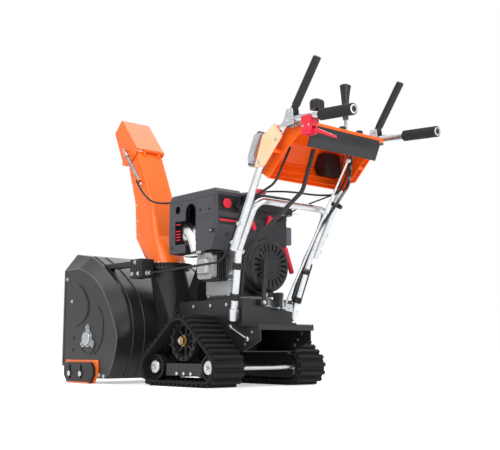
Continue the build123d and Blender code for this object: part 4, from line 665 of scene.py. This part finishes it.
boss = turned(0.036, 0.016, (COVER_FACE + 0.008, 0.047, 0.448), (1, 0, 0), 0.003, 0.003)
cover_ribs = []
for y in COVER_RIBS:
    high = (COVER_FACE + 0.0125, y + COVER_RIB_WIDE, 0.408)
    cover_ribs.append(slab((COVER_FACE + 0.006, y, 0.384), high, 0.0015))
seat([cover, boss, *cover_ribs], "crankcase_cover", CAST_ALLOY)
COVER_BOLTS = (
    (-0.028, 0.381), (0.047, 0.379), (0.123, 0.381), (0.131, 0.440),
    (0.106, 0.515), (0.047, 0.516), (-0.010, 0.515), (-0.036, 0.440),
)
cover_bolts = [bolt(*SMALL_BOLT, (COVER_FACE + 0.0098, *spot), (1, 0, 0)) for spot in COVER_BOLTS]
seat(cover_bolts, "crankcase_cover_bolts", ZINC)


def hoop(centre, radius, thick, steps):
    """A closed round bead in a plane across Y."""
    x, y, z = centre
    turn = [2 * math.pi * i / steps for i in range(steps + 1)]
    return bead([(x + radius * math.cos(a), y, z + radius * math.sin(a)) for a in turn], thick, "POLY")


CLAMP_CENTRE, CLAMP_R, CLAMP_THICK = (-0.134, 0.128, 0.604), 0.0425, 0.0022
ELBOW = ((-0.146, 0.176, 0.634), (-0.163, 0.150, 0.622), (-0.165, 0.116, 0.596), (-0.158, 0.100, 0.534))
ELBOW_R = 0.026
FLANGE_STUD = (0.009, 0.005)
clamp = hoop(CLAMP_CENTRE, CLAMP_R, CLAMP_THICK, 48)
exhaust_flange = slab((-0.168, 0.064, 0.534), (-0.132, 0.112, 0.541), 0.0015)
elbow = bead(ELBOW, ELBOW_R)
heat_plate = slab((-0.186, 0.074, 0.512), (-0.140, 0.150, 0.521), 0.002)
studs = [bolt(*FLANGE_STUD, (-0.150, y, 0.5405), (0, 0, 1)) for y in (0.0685, 0.1075)]
seat([clamp, exhaust_flange, elbow, heat_plate, *studs], "exhaust_fittings", EXHAUST)

# Fan shroud: a charcoal moulding behind the engine with a rim, a skirt and the plates under its levers.
# The mains starter sits in a slate grey box on its right edge.
SLATE_PLASTIC = start_finish("slate grey moulded ABS", "#565a66", "#666a77", 40, 1.4, 0.08, 0.4, 0.52)[0]
CHARCOAL_PLASTIC = start_finish(
    "charcoal moulded ABS", "#252528", "#303033", 50, 1.4, 0.12, 0.44, 0.58, specular=0.35
)[0]
SHROUD_FACE, SHROUD_RIGHT = -0.104, 0.146
shroud = coat("fan_shroud", CHARCOAL_PLASTIC, SLATE_PLASTIC)
pick(shroud, 1, lambda c: c.x > SHROUD_RIGHT + HAIR)
shroud_rim = slab((-0.058, SHROUD_FACE - 0.004, 0.664), (SHROUD_RIGHT, SHROUD_FACE + 0.002, 0.682), 0.002)
seat(shroud_rim, "shroud_rim", BLACK_PLASTIC)
skirt = slab((CASE_FACE - 0.0015, -0.0625, 0.352), (COVER_FACE + 0.0015, -0.0565, 0.412), 0.0015)
seat(skirt, "shroud_skirt", CHARCOAL_PLASTIC)
LEVER_PIVOTS = ((0.040, 0.640), (-0.032, 0.618))
SCALE_HALF, SCALE_BELOW, SCALE_ABOVE = 0.030, 0.007, 0.020
BOX_SIDE, BOX_SCREW_Y, BOX_SCREWS = 0.1785, -0.080, (0.578, 0.628)
shroud_fittings = []
for x, z in LEVER_PIVOTS:
    low = (x - SCALE_HALF, SHROUD_FACE - 0.0005, z - SCALE_BELOW)
    high = (x + SCALE_HALF, SHROUD_FACE + 0.001, z + SCALE_ABOVE)
    shroud_fittings.append(slab(low, high, 0.0004))
for z in BOX_SCREWS:
    shroud_fittings.append(turned(0.0035, 0.003, (BOX_SIDE, BOX_SCREW_Y, z), (1, 0, 0), 0.0006, 0.0008))
seat(shroud_fittings, "shroud_fittings", BLACK_PLASTIC)

# Starter cover: a slotted black moulding over the rope reel, with a raised bare plate at its middle,
# a moulded ring round it and three bright bolts to the shroud.


def rounded_rectangle(x_range, y_range, corner, steps=6):
    """Outline points of a rectangle with round corners."""
    left, right = x_range[0] + corner, x_range[1] - corner
    low, high = y_range[0] + corner, y_range[1] - corner
    points = []
    for i, (x, y) in enumerate(((right, high), (left, high), (left, low), (right, low))):
        for k in range(steps + 1):
            angle = math.pi / 2 * (i + k / steps)
            points.append((x + corner * math.cos(angle), y + corner * math.sin(angle)))
    return points


coat("recoil_cover", BLACK_PLASTIC)
CRANK_X, CRANK_Z = 0.020, 0.470
RECOIL_FACE, RECOIL_R = -0.146, 0.106
PLATE_HALF_WIDE, PLATE_HALF_HIGH, PLATE_CORNER = 0.029, 0.027, 0.007
RECOIL_RIMS = ((RECOIL_R - 0.057, 0.0018, 0), (RECOIL_R - 0.016, 0.0022, 0.0012))
EAR_REACH, EAR_R, EAR_THICK, FIRST_EAR = 0.1125, 0.011, 0.006, 35
plate_wide = (CRANK_X - PLATE_HALF_WIDE, CRANK_X + PLATE_HALF_WIDE)
plate_high = (CRANK_Z - PLATE_HALF_HIGH, CRANK_Z + PLATE_HALF_HIGH)
plate_outline = rounded_rectangle(plate_wide, plate_high, PLATE_CORNER)
recoil_middle = [rear_plate(plate_outline, 0.005, 0.0012, RECOIL_FACE - 0.0005)]
for radius, thick, sunk in RECOIL_RIMS:
    recoil_middle.append(hoop((CRANK_X, RECOIL_FACE + sunk, CRANK_Z), radius, thick, 64))
seat(recoil_middle, "recoil_middle", BLACK_PLASTIC)
recoil_bolts = []
for i in range(3):
    angle = math.radians(FIRST_EAR + 120 * i)
    x = CRANK_X + EAR_REACH * math.cos(angle)
    z = CRANK_Z + EAR_REACH * math.sin(angle)
    recoil_bolts.append(turned(EAR_R, EAR_THICK, (x, SHROUD_FACE + 0.0004, z), (0, -1, 0), 0.0015))
    recoil_bolts.append(bolt(*SMALL_BOLT, (x, SHROUD_FACE - 0.0026, z), (0, -1, 0)))
seat(recoil_bolts, "recoil_bolts", ZINC)

# Fuel tank: a black blow-moulded tank with a weld flange round its middle and a knurled red cap.
# A small bright pin stands out of its rear right corner.
coat("fuel_tank", BLACK_PLASTIC)
RED_PLASTIC = start_finish(
    "red moulded nylon", "#d8122f", "#ee2d4c", 30, 1.6, 0.06, 0.3, 0.42, specular=0.4
)[0]
for name in ("fuel_cap", "choke_knob", "throttle_lever", "fuel_tap", "pull_handle"):
    coat(name, RED_PLASTIC)
FLANGE_WIDE, FLANGE_LONG, FLANGE_CORNER = (-0.0645, 0.1925), (-0.1125, 0.1525), 0.0285
FLANGE_THICK, FLANGE_Z = 0.005, 0.722
flange = plate(rounded_rectangle(FLANGE_WIDE, FLANGE_LONG, FLANGE_CORNER), FLANGE_THICK, 0.0012)
flange.location.z = FLANGE_Z
seat(flange, "tank_flange", BLACK_PLASTIC)
CAP_PLACE = Vector((0.042, -0.046, 0.778))
CAP_R = 0.030
KNURLS, KNURL_HALF = 20, 0.002
KNURL_LOW, KNURL_HIGH = -0.010, 0.006
knurls = []
for i in range(KNURLS):
    low = (CAP_R - 0.002, -KNURL_HALF, KNURL_LOW)
    knurl = slab(low, (CAP_R + 0.0018, KNURL_HALF, KNURL_HIGH), 0.0008)
    knurl.rotation_euler.z = 2 * math.pi * i / KNURLS
    knurl.location = CAP_PLACE
    knurls.append(knurl)
seat(knurls, "fuel_cap_grips", RED_PLASTIC, "cap")
pin = turned(0.003, 0.042, (0.205, -0.090, 0.702), (1, 0, 0), 0.0008)
seat(pin, "tank_pin", ZINC)

# Engine cowl: a dark grey moulding with a fine spark grain over the carburettor and exhaust. Its lid
# overlaps it, a black panel carries the knobs, and a dark heat screen with red slots is behind the window.
GREY_PLASTIC = start_finish(
    "dark grey moulded ABS", "#3e3e44", "#4c4c52", 50, 1.4, 0.12, 0.44, 0.58, specular=0.35
)[0]
coat("engine_cowl", GREY_PLASTIC)
COWL_LEFT, COWL_RIGHT = -0.190, -0.071
COWL_REAR, COWL_FRONT = -0.068, 0.249
COWL_TOP = 0.768
PROUD = 0.0016
LID_LOW = COWL_TOP - 0.024
lid_outline = (
    (COWL_FRONT + PROUD, LID_LOW),
    (COWL_FRONT + PROUD, COWL_TOP - 0.0215),
    (COWL_FRONT - 0.0235, COWL_TOP + PROUD),
    (COWL_REAR + 0.0098, COWL_TOP + PROUD),
    (COWL_REAR - PROUD, COWL_TOP - 0.0115),
    (COWL_REAR - PROUD, LID_LOW),
)
lid_wide = COWL_RIGHT - COWL_LEFT + 2 * PROUD
lid = side_plate(lid_outline, lid_wide, 0.0012, (COWL_LEFT + COWL_RIGHT) / 2)
seat(lid, "cowl_lid", GREY_PLASTIC)
CHOKE_X, CHOKE_Z = -0.148, 0.710
PANEL_LOW, PANEL_HIGH = 0.6805, 0.7425
panel_low = (COWL_LEFT + 0.0085, COWL_REAR - 0.0012, PANEL_LOW)
panel = slab(panel_low, (COWL_RIGHT - 0.0065, COWL_REAR + 0.0019, PANEL_HIGH), 0.0008)
bezel = turned(0.019, 0.004, (CHOKE_X, COWL_REAR - 0.001, CHOKE_Z), (0, -1, 0), 0.001, 0.002)
seat([panel, bezel], "cowl_rear_panel", BLACK_PLASTIC)
choke_rim = turned(0.0195, 0.006, (CHOKE_X, COWL_REAR - 0.0105, CHOKE_Z), (0, -1, 0), 0.0015)
seat(choke_rim, "choke_rim", RED_PLASTIC, "choke")
knob = turned(0.0125, 0.018, (-0.092, COWL_REAR - 0.009, 0.702), (0, -1, 0), 0.003, 0.0015)
seat(knob, "cowl_black_knob", BLACK_PLASTIC)
bed_low = (COWL_LEFT + 0.010, COWL_REAR - 0.0008, 0.628)
trim_bed = slab(bed_low, (COWL_RIGHT - 0.005, COWL_REAR + 0.001, 0.658), 0.0006)
seat(trim_bed, "cowl_trim_bed", BLACK_PLASTIC)
RED_SLOTS, RED_SLOT_HIGH = (0.584, 0.596, 0.608, 0.620, 0.648), 0.0045
trim_low = (COWL_LEFT + 0.012, COWL_REAR - 0.0016, 0.640)
red_trim = [slab(trim_low, (COWL_RIGHT - 0.006, COWL_REAR - 0.0002, 0.648), 0.0006)]
for z in RED_SLOTS:
    high = (COWL_LEFT + 0.006, 0.2125, z + RED_SLOT_HIGH)
    red_trim.append(slab((COWL_LEFT + 0.0026, 0.178, z), high, 0.001))
seat(red_trim, "cowl_red_trim", RED_PLASTIC)
SCREEN_LEFT, SCREEN_RIGHT = -0.0875, -0.0845
screen_low = (SCREEN_LEFT, COWL_REAR + 0.006, 0.536)
screen = slab(screen_low, (SCREEN_RIGHT, COWL_FRONT - 0.005, 0.758), 0.001)
tab_low = (SCREEN_LEFT, COWL_FRONT - 0.0045, 0.600)
screen_tab = slab(tab_low, (SCREEN_RIGHT, COWL_FRONT - 0.0025, 0.720), 0.0005)
seat([screen, screen_tab], "cowl_heat_screen", BLACK_SHEET)
LOUVRES, LOUVRE_HIGH = (0.652, 0.662, 0.672), 0.002
CORNER_LINES, CORNER_LINE_WIDE = (-0.048, -0.055), 0.0018
ARCH_REAR, ARCH_FRONT, ARCH_SPRING, ARCH_TOP = 0.068, 0.138, 0.693, 0.728
WINDOW_FRONT, WINDOW_TOP, WINDOW_LOW = 0.209, 0.662, 0.566
louvres = []
for z in LOUVRES:
    high = (COWL_LEFT + 0.001, 0.058, z + LOUVRE_HIGH)
    louvres.append(slab((COWL_LEFT - 0.0012, -0.040, z), high, 0.0007))
for y in CORNER_LINES:
    high = (COWL_LEFT + 0.001, y + CORNER_LINE_WIDE, 0.742)
    louvres.append(slab((COWL_LEFT - 0.001, y, 0.560), high, 0.0006))
arch_middle = ((ARCH_REAR + ARCH_FRONT) / 2, ARCH_TOP)
arch_lip = [(ARCH_REAR, 0.532)]
arch_lip += arc_through((ARCH_REAR, ARCH_SPRING), arch_middle, (ARCH_FRONT, ARCH_SPRING), 14)
arch_lip += [(ARCH_FRONT, WINDOW_TOP), (WINDOW_FRONT, WINDOW_TOP), (WINDOW_FRONT, WINDOW_LOW)]
louvres.append(bead([(COWL_LEFT - 0.0002, *p) for p in arch_lip], 0.0015, "POLY"))
seat(louvres, "cowl_louvres", GREY_PLASTIC)
COWL_SCREWS = ((0.041, 0.694), (-0.018, 0.691), (0.228, 0.556))
screws = [
    turned(0.005, 0.003, (COWL_LEFT - 0.001, *spot), (-1, 0, 0), 0.0008, 0.0012) for spot in COWL_SCREWS
]
clip = slab((COWL_LEFT - 0.002, -0.052, 0.596), (COWL_LEFT + 0.001, -0.020, 0.612), 0.001)
screws.append(turned(0.006, 0.003, (-0.131, COWL_REAR + 0.012, 0.590), (0, -0.94, -0.34), 0.0008, 0.0012))
seat([*screws, clip], "cowl_screws", BLACK_PLASTIC)
clip_bolt = turned(0.004, 0.004, (COWL_LEFT - 0.003, -0.030, 0.604), (-1, 0, 0), 0.001, 0.001)
seat(clip_bolt, "cowl_clip_bolt", ZINC)

# Belt and cables: a black rubber belt, plain sheathed cables, a ribbed loom on the left leg
# and a spiral wrap on the right one, whose turns leave pale gaps. Clips hold them to the legs.
SHEATH_LOOK = ("#0e0e0f", "#18181a", 20, 1.2, 0.1, 0.4, 0.55)
RIB_MM, TURN_MM = 5, 16
WAVES_PER_SCALE = 3.1831
CABLE_SHEATH = start_finish("black cable sheath", *SHEATH_LOOK, specular=0.35)[0]
RIBBED_LOOM, tree, shader, place = start_finish("ribbed loom", *SHEATH_LOOK)
waves = {"Vector": place, "Scale": 1000 / RIB_MM / WAVES_PER_SCALE, "Distortion": 0.0}
ribs = add(tree, "ShaderNodeTexWave", waves, bands_direction="Z")
raise_pattern(tree, shader, ribs.outputs["Fac"], 1.2)
SPIRAL_WRAP, tree, shader, place = start_finish("spiral cable wrap", *SHEATH_LOOK)
waves = {"Vector": place, "Scale": 1000 / TURN_MM / WAVES_PER_SCALE, "Distortion": 0.0}
turns = add(tree, "ShaderNodeTexWave", waves, bands_direction="DIAGONAL")
wear(tree, shader, turns.outputs["Fac"], 0.72, 0.86, 0.6, "#8b8e91")
raise_pattern(tree, shader, turns.outputs["Fac"], 1.0)
coat("drive_belt", TRACK_RUBBER)
cables = coat("control_cables", CABLE_SHEATH, RIBBED_LOOM, SPIRAL_WRAP)
LOOM_LEFT, LOOM_RIGHT = -0.145, -0.050
LEG_LOOM_LEFT, LEG_LOOM_RIGHT, LEG_LOOM_TOP = -0.178, -0.120, 0.620
WRAP_LEFT, WRAP_LOW = 0.139, 0.450
pick(cables, 1, lambda c: LOOM_LEFT < c.x < LOOM_RIGHT)
pick(cables, 1, lambda c: c.z < LEG_LOOM_TOP and LEG_LOOM_LEFT < c.x < LEG_LOOM_RIGHT)
pick(cables, 2, lambda c: c.x > WRAP_LEFT and c.z > WRAP_LOW)
coat("deflector_cable", CABLE_SHEATH)
TIE_PLACES = ((0.1785, -0.1764, 0.4445), (0.1618, -0.1424, 0.330))
TIE_R, TIE_WIDE = 0.0208, 0.007
LATCH_HALF, LATCH_HIGH = 0.0045, 0.010
ties = []
for sign in (-1, 1):
    way = Vector((sign * LEG_WAY.x, LEG_WAY.y, LEG_WAY.z))
    for across, y, z in TIE_PLACES:
        x = sign * across
        ties.append(turned(TIE_R, TIE_WIDE, Vector((x, y, z)) + way * 0.008, way, 0.0008))
        latch_high = (x + LATCH_HALF, y - 0.016, z + LATCH_HIGH)
        ties.append(slab((x - LATCH_HALF, y - 0.028, z), latch_high, 0.001))
seat(ties, "cable_ties", BLACK_PLASTIC)

# Handles: bent steel tube in bright zinc, the upper pair bolted to the legs of the lower frame.
# Closed-cell foam grips end in a plated ring with a black plug, and folded brackets carry the paddles.
FOAM, tree, shader, place = start_finish(
    "closed-cell foam", "#262627", "#343435", 12, 1.4, 0.3, 0.8, 0.95, specular=0.2
)
CELL_MM = 2.4
cells = add(tree, "ShaderNodeTexVoronoi", {"Vector": place, "Scale": 1000 / CELL_MM})
raise_pattern(tree, shader, cells.outputs["Distance"], 0.4)
for name in ("lower_handle", "upper_handles", "selector_rod", "shift_arm", "deflector_rod"):
    coat(name, ZINC)
coat("handle_grips", FOAM)
lever = coat("lift_lever", FOAM, ZINC)
LIFT_PIVOT, LIFT_SHANK = Vector((0.219, -0.077, 0.294)), 0.0585
pick(lever, 1, lambda c: (Vector(c) - LIFT_PIVOT).length < LIFT_SHANK)
HANDLE_X, TUBE_R = 0.223, 0.014
JOINT_BOLT = (0.012, 0.006)
JOINT_PLACES = ((0.2181, -0.2110, 0.535), (0.2196, -0.2480, 0.602))
joint_bolts = []
for sign in (-1, 1):
    for x, y, z in JOINT_PLACES:
        joint_bolts.append(bolt(*JOINT_BOLT, (sign * (x + TUBE_R - HAIR), y, z), (sign, 0, 0)))
seat(joint_bolts, "handle_bolts", ZINC)
CLAMP_PLACE = Vector((HANDLE_X, -0.311, 0.716))
UPPER_WAY = Vector((0, -0.483, 0.875))
KNOB_WAY = Vector((0, -0.875, -0.483))
clamp_band = turned(0.0185, 0.016, CLAMP_PLACE, UPPER_WAY, 0.002)
clamp_knob = turned(0.009, 0.018, CLAMP_PLACE + Vector((0, -0.021, -0.011)), KNOB_WAY, 0.002)
seat([clamp_band, clamp_knob], "handle_clamp", BLACK_PLASTIC)
HANDLE_WAY = Vector((0, -0.315, -0.025)).normalized()
GRIP_END = Vector((0, -0.815, 0.919))
RING_R, PLUG_R, RING_LONG = 0.0165, 0.0085, 0.004
PADDLE_PIVOT = Vector((0, -0.530, 0.969))
PADDLE_TURN = math.radians(126)
PADDLE_RIBS, FIRST_RIB, RIB_PITCH = 20, 0.036, 0.0082
RIB_HALF, RIB_WIDE, RIB_FOOT, RIB_TOP = 0.0078, 0.004, 0.0085, 0.0109
PIN_R, PIN_REACH = 0.0065, 0.0185
BRACKET_SCREW, BRACKET_FACE = (0.008, 0.0035), 0.0172
SCREW_AHEAD, SCREW_BELOW = 0.012, -0.034
for side, name in ((-1, "left"), (1, "right")):
    over = Vector((side * HANDLE_X, 0, 0))
    end = GRIP_END + over
    pivot = PADDLE_PIVOT + over
    ring = turned(RING_R, RING_LONG, end + HANDLE_WAY * 0.001, HANDLE_WAY, 0.001, 0.002)
    seat(ring, f"{name}_grip_ring", ZINC)
    plug = turned(PLUG_R, RING_LONG, end + HANDLE_WAY * 0.002, HANDLE_WAY, 0.001, 0.0015)
    seat(plug, f"{name}_grip_plug", BLACK_PLASTIC)
    coat(f"{name}_paddle", BLACK_PLASTIC)
    ridges = []
    for face in (-1, 1):
        low, high = sorted((face * RIB_FOOT, face * RIB_TOP))
        for i in range(PADDLE_RIBS):
            along = FIRST_RIB + RIB_PITCH * i
            ridges.append(slab((-RIB_HALF, along, low), (RIB_HALF, along + RIB_WIDE, high), 0.0007))
    ribs = joined(ridges)
    ribs.rotation_euler = (PADDLE_TURN, 0, 0)
    ribs.location = pivot
    seat(ribs, f"{name}_paddle_ribs", BLACK_PLASTIC, f"{name}_paddle")
    pins = []
    for sign in (-1, 1):
        pin_end = pivot + Vector((sign * PIN_REACH, 0, 0))
        pins.append(turned(PIN_R, 0.004, pin_end, (sign, 0, 0), 0.0012, 0.0008))
        screw_foot = pivot + Vector((sign * BRACKET_FACE, SCREW_AHEAD, SCREW_BELOW))
        pins.append(bolt(*BRACKET_SCREW, screw_foot, (sign, 0, 0)))
    seat(pins, f"{name}_paddle_pins", ZINC)
for name in ("trigger_block", "steering_trigger"):
    coat(name, RED_PLASTIC)
BLOCK_FACE, BLOCK_SCREWS = -0.2405, ((-0.596, 0.902), (-0.626, 0.902))
block_screws = [turned(0.004, 0.003, (BLOCK_FACE, *spot), (-1, 0, 0), 0.0008, 0.001) for spot in BLOCK_SCREWS]
seat(block_screws, "trigger_screws", ZINC)

# Console: an orange moulded hood between two side plates whose pale colour is a painted sheen, a folded
# charcoal rear panel with a black band under the rail, and a wide fluted lamp in front. Switches and stick
# are black, the gear lever's stem is plated.
ORANGE_PLASTIC = start_finish(
    "orange moulded ABS", "#ff5c04", "#ff7412", 90, 1.6, 0.06, 0.32, 0.42, specular=0.35
)[0]
PAINTED_SHEEN_ORANGE = start_finish("orange moulded ABS, pale with painted sheen", "#ebbd8a", "#f3d8b6", 60, 1.6, 0.06, 0.28, 0.36)[0]
SIDE_FACE = 0.2415
hood = coat("dash_hood", ORANGE_PLASTIC, PAINTED_SHEEN_ORANGE)
# The hood's outer side faces are painted pale as a sheen of light on the orange.
pick(hood, 1, lambda c: abs(c.x) > SIDE_FACE - HAIR)
STEP_LINES = ((-0.3115, 0.8440), (-0.3250, 0.8125), (-0.3480, 0.7822))
STEP_LINE_HALF, STEP_LINE_R = 0.194, 0.0035
hood_steps = [
    bead([(-STEP_LINE_HALF, *spot), (STEP_LINE_HALF, *spot)], STEP_LINE_R, "POLY") for spot in STEP_LINES
]
seat(hood_steps, "hood_steps", ORANGE_PLASTIC)
coat("dash_panel", CHARCOAL_PLASTIC)
DASH_BAND = (
    (-0.5790, 0.9195), (-0.5825, 0.9195), (-0.5858, 0.9020),
    (-0.5762, 0.8800), (-0.5748, 0.8806), (-0.5838, 0.9020),
)
DASH_BAND_WIDE = 0.354
band = side_plate(DASH_BAND, DASH_BAND_WIDE, 0.0003, 0)
seat(band, "dash_band", BLACK_PLASTIC)
LAMP_BACK = ((-0.372, 0.814), (-0.334, 0.818), (-0.317, 0.850), (-0.322, 0.895), (-0.366, 0.897))
LAMP_BACK_WIDE, LAMP_BACK_X = 0.088, 0.145
lamp_back = side_plate(LAMP_BACK, LAMP_BACK_WIDE, 0.004, LAMP_BACK_X)
seat(lamp_back, "lamp_back", BLACK_PLASTIC)
LENS, tree, shader, place = start_finish(
    "clear lamp lens", "#8f959d", "#b4b9c0", 30, 2.0, 0.05, 0.08, 0.16, coat_weight=0.6
)
FLUTE_MM = 9
waves = {"Vector": place, "Scale": 1000 / FLUTE_MM / WAVES_PER_SCALE, "Distortion": 0.0}
flutes = add(tree, "ShaderNodeTexWave", waves, bands_direction="X")
raise_pattern(tree, shader, flutes.outputs["Fac"], 1.5)
coat("headlight", LENS)
LAMP_END = (
    (-0.3440, 0.9245), (-0.3395, 0.9340), (-0.3180, 0.9280), (-0.2965, 0.8850),
    (-0.2810, 0.8500), (-0.2840, 0.8220), (-0.3085, 0.8380), (-0.3032, 0.8505),
)
LAMP_HALF, LAMP_END_WIDE = 0.217, 0.048
LAMP_RIMS, LAMP_RIM_R = ((-0.2875, 0.8235), (-0.3405, 0.9335)), 0.0042
lamp_end_x = LAMP_HALF - LAMP_END_WIDE / 2
lamp_ends = [side_plate(LAMP_END, LAMP_END_WIDE, 0.004, sign * lamp_end_x) for sign in (-1, 1)]
seat(lamp_ends, "lamp_ends", LENS)
lamp_rims = [bead([(-LAMP_HALF, *spot), (LAMP_HALF, *spot)], LAMP_RIM_R, "POLY") for spot in LAMP_RIMS]
seat(lamp_rims, "lamp_rims", BLACK_PLASTIC)
for name in ("joystick", "stick_gimbal", "light_switch", "heat_switch"):
    coat(name, BLACK_PLASTIC)
GLOSS_BLACK = start_finish("polished black phenolic", "#0c0c0d", "#151517", 40, 3.0, 0.03, 0.12, 0.2)[0]
GEAR_KNOB_FOOT = 0.989
gear = coat("gear_lever", GLOSS_BLACK, ZINC)
pick(gear, 1, lambda c: c.z < GEAR_KNOB_FOOT)

# Chute: orange enamelled sheet with a riveted seam on each side.
# Its foot is bolted to a black moulded toothed ring, and a black moulded pinion beside it turns both.
for name in ("chute", "deflector"):
    coat(name, ORANGE_ENAMEL)
for name in ("chute_ring", "chute_pinion", "pinion_housing"):
    coat(name, BLACK_PLASTIC)
CHUTE_X, CHUTE_Y = -0.128, 0.345
SEAM = ((0.0688, 0.452, 0.625), (0.0672, 0.480, 0.770), (0.0655, 0.545, 0.955))
SEAM_R = 0.0016
RIVET_SHARES, RIVET_AHEAD = (0.02, 0.25, 0.49, 0.75, 0.98), Vector((0, 0.010, 0))
RIVET_R, RIVET_LONG = 0.0042, 0.005
RING_TOP, RING_BOLTS, RING_BOLT_REACH = 0.5008, 6, 0.0895
seams = []
rivets = []
for sign in (-1, 1):
    line = [Vector((CHUTE_X + sign * across, y, z)) for across, y, z in SEAM]
    seams.append(bead(line, SEAM_R, "POLY"))
    for share in RIVET_SHARES:
        first, second = line[:2] if share < 0.5 else line[1:]
        spot = first.lerp(second, share * 2 % 1) + RIVET_AHEAD
        rivets.append(turned(RIVET_R, RIVET_LONG, spot, (sign, 0, 0), 0.0015))
seat(seams, "chute_seams", ORANGE_ENAMEL, "chute")
for i in range(RING_BOLTS):
    angle = 2 * math.pi * (i + 0.5) / RING_BOLTS
    x = CHUTE_X + RING_BOLT_REACH * math.cos(angle)
    y = CHUTE_Y + RING_BOLT_REACH * math.sin(angle)
    rivets.append(bolt(*SMALL_BOLT, (x, y, RING_TOP), (0, 0, 1)))
seat(rivets, "chute_rivets", ZINC, "chute")

# Deflector: the hood that is hinged to the chute's rear edge. Skirts under its cheeks overlap the chute's
# sides, sleeves close its hinge, and a plated rod with a spring holds it up.
CHEEK_MIDDLE, SKIRT_THICK = 0.0705, 0.0024
HINGE_AXIS = (0.484, 1.020)
SLEEVE_MIDDLE, SLEEVE_R, SLEEVE_LONG = 0.0555, 0.005, 0.023
SKIRT = (
    (0.4880, 1.0275), (0.4835, 1.0165), (0.4985, 1.0010), (0.5640, 0.9545),
    (0.6060, 0.9660), (0.6050, 0.9800), (0.5665, 0.9705), (0.5045, 1.0138),
)
skirts = []
for sign in (-1, 1):
    skirts.append(side_plate(SKIRT, SKIRT_THICK, 0.0006, CHUTE_X + sign * CHEEK_MIDDLE))
    sleeve_place = (CHUTE_X + sign * SLEEVE_MIDDLE, *HINGE_AXIS)
    skirts.append(turned(SLEEVE_R, SLEEVE_LONG, sleeve_place, (sign, 0, 0), 0.0008))
seat(skirts, "deflector_skirts", ORANGE_ENAMEL, "deflector")
coat("rod_spring", DULL_ZINC)
ROD_TOP = Vector((-0.217, 0.566, 1.024))
ROD_EYE = Vector((-0.217, 0.441, 0.868))
COLLAR_END, EYE_REST = 0.0382, 0.0088
COIL_R, WIRE_R = 0.0075, 0.0016
COIL_TURNS, TURN_STEPS = 11, 16
rod_way = (ROD_EYE - ROD_TOP).normalized()
spring_top = ROD_TOP + rod_way * COLLAR_END
spring_length = (ROD_EYE - ROD_TOP).length - COLLAR_END - EYE_REST
across = Vector((1, 0, 0))
aside = rod_way.cross(across)
coil = []
for i in range(TURN_STEPS * COIL_TURNS + 1):
    angle = 2 * math.pi * i / TURN_STEPS
    down = WIRE_R + (spring_length - 2 * WIRE_R) * i / (TURN_STEPS * COIL_TURNS)
    around = across * math.cos(angle) + aside * math.sin(angle)
    coil.append(spring_top + rod_way * down + around * COIL_R)
spring = bead(coil, WIRE_R, "POLY")
seat(spring, "deflector_spring", DULL_ZINC, "guide_rod", 60)
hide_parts("rod_spring")
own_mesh(spring)

# Chute drive: a black moulded gear case with a zinc cable ferrule and bolts, and a folded black bar
# that runs forward from it along the housing and guards the ring.
PINION_CASE_FACE = -0.2929
FERRULE_X, FERRULE_Z = -0.263, 0.453
ferrule = turned(0.0085, 0.026, (FERRULE_X, 0.2905, FERRULE_Z), (0, -1, 0), 0.0015)
collar = turned(0.0115, 0.007, (FERRULE_X, 0.300, FERRULE_Z), (0, -1, 0), 0.001, 0, 6)
CASE_SCREW = (0.011, 0.005)
CASE_SCREWS = ((0.322, 0.452), (0.366, 0.452), (0.344, 0.500))
case_screws = [bolt(*CASE_SCREW, (PINION_CASE_FACE, *spot), (-1, 0, 0)) for spot in CASE_SCREWS]
seat([ferrule, collar, *case_screws], "chute_drive_fittings", ZINC)
GUARD = ((0.384, 0.506), (0.590, 0.506), (0.598, 0.500), (0.592, 0.489), (0.384, 0.486))
GUARD_WIDE, GUARD_X = 0.036, -0.268
PINION_CASE_RIBS, PINION_RIB_WIDE = (0.312, 0.334, 0.354, 0.376), 0.004
ring_guard = [side_plate(GUARD, GUARD_WIDE, 0.002, GUARD_X)]
for y in PINION_CASE_RIBS:
    low = (PINION_CASE_FACE - 0.0016, y, 0.446)
    high = (PINION_CASE_FACE + 0.0014, y + PINION_RIB_WIDE, 0.506)
    ring_guard.append(slab(low, high, 0.001))
seat(ring_guard, "ring_guard", BLACK_PLASTIC)

# Tilt cable: a sheathed cable from the console to the eye on the chute's left side.
TILT_R = 0.004
TILT_ROUTE = (
    (-0.2324, 0.441, 0.868),
    (-0.2324, 0.372, 0.772),
    (-0.196, 0.264, 0.742),
    (-0.060, 0.258, 0.790),
    (0.070, 0.120, 0.800),
    (0.120, -0.110, 0.790),
    (0.130, -0.330, 0.735),
    (0.150, -0.430, 0.740),
    (0.160, -0.452, 0.880),
)
tilt_cable = bead(TILT_ROUTE, TILT_R)
seat(tilt_cable, "tilt_cable", CABLE_SHEATH, None, 60)
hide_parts("deflector_cable")
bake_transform(tilt_cable)
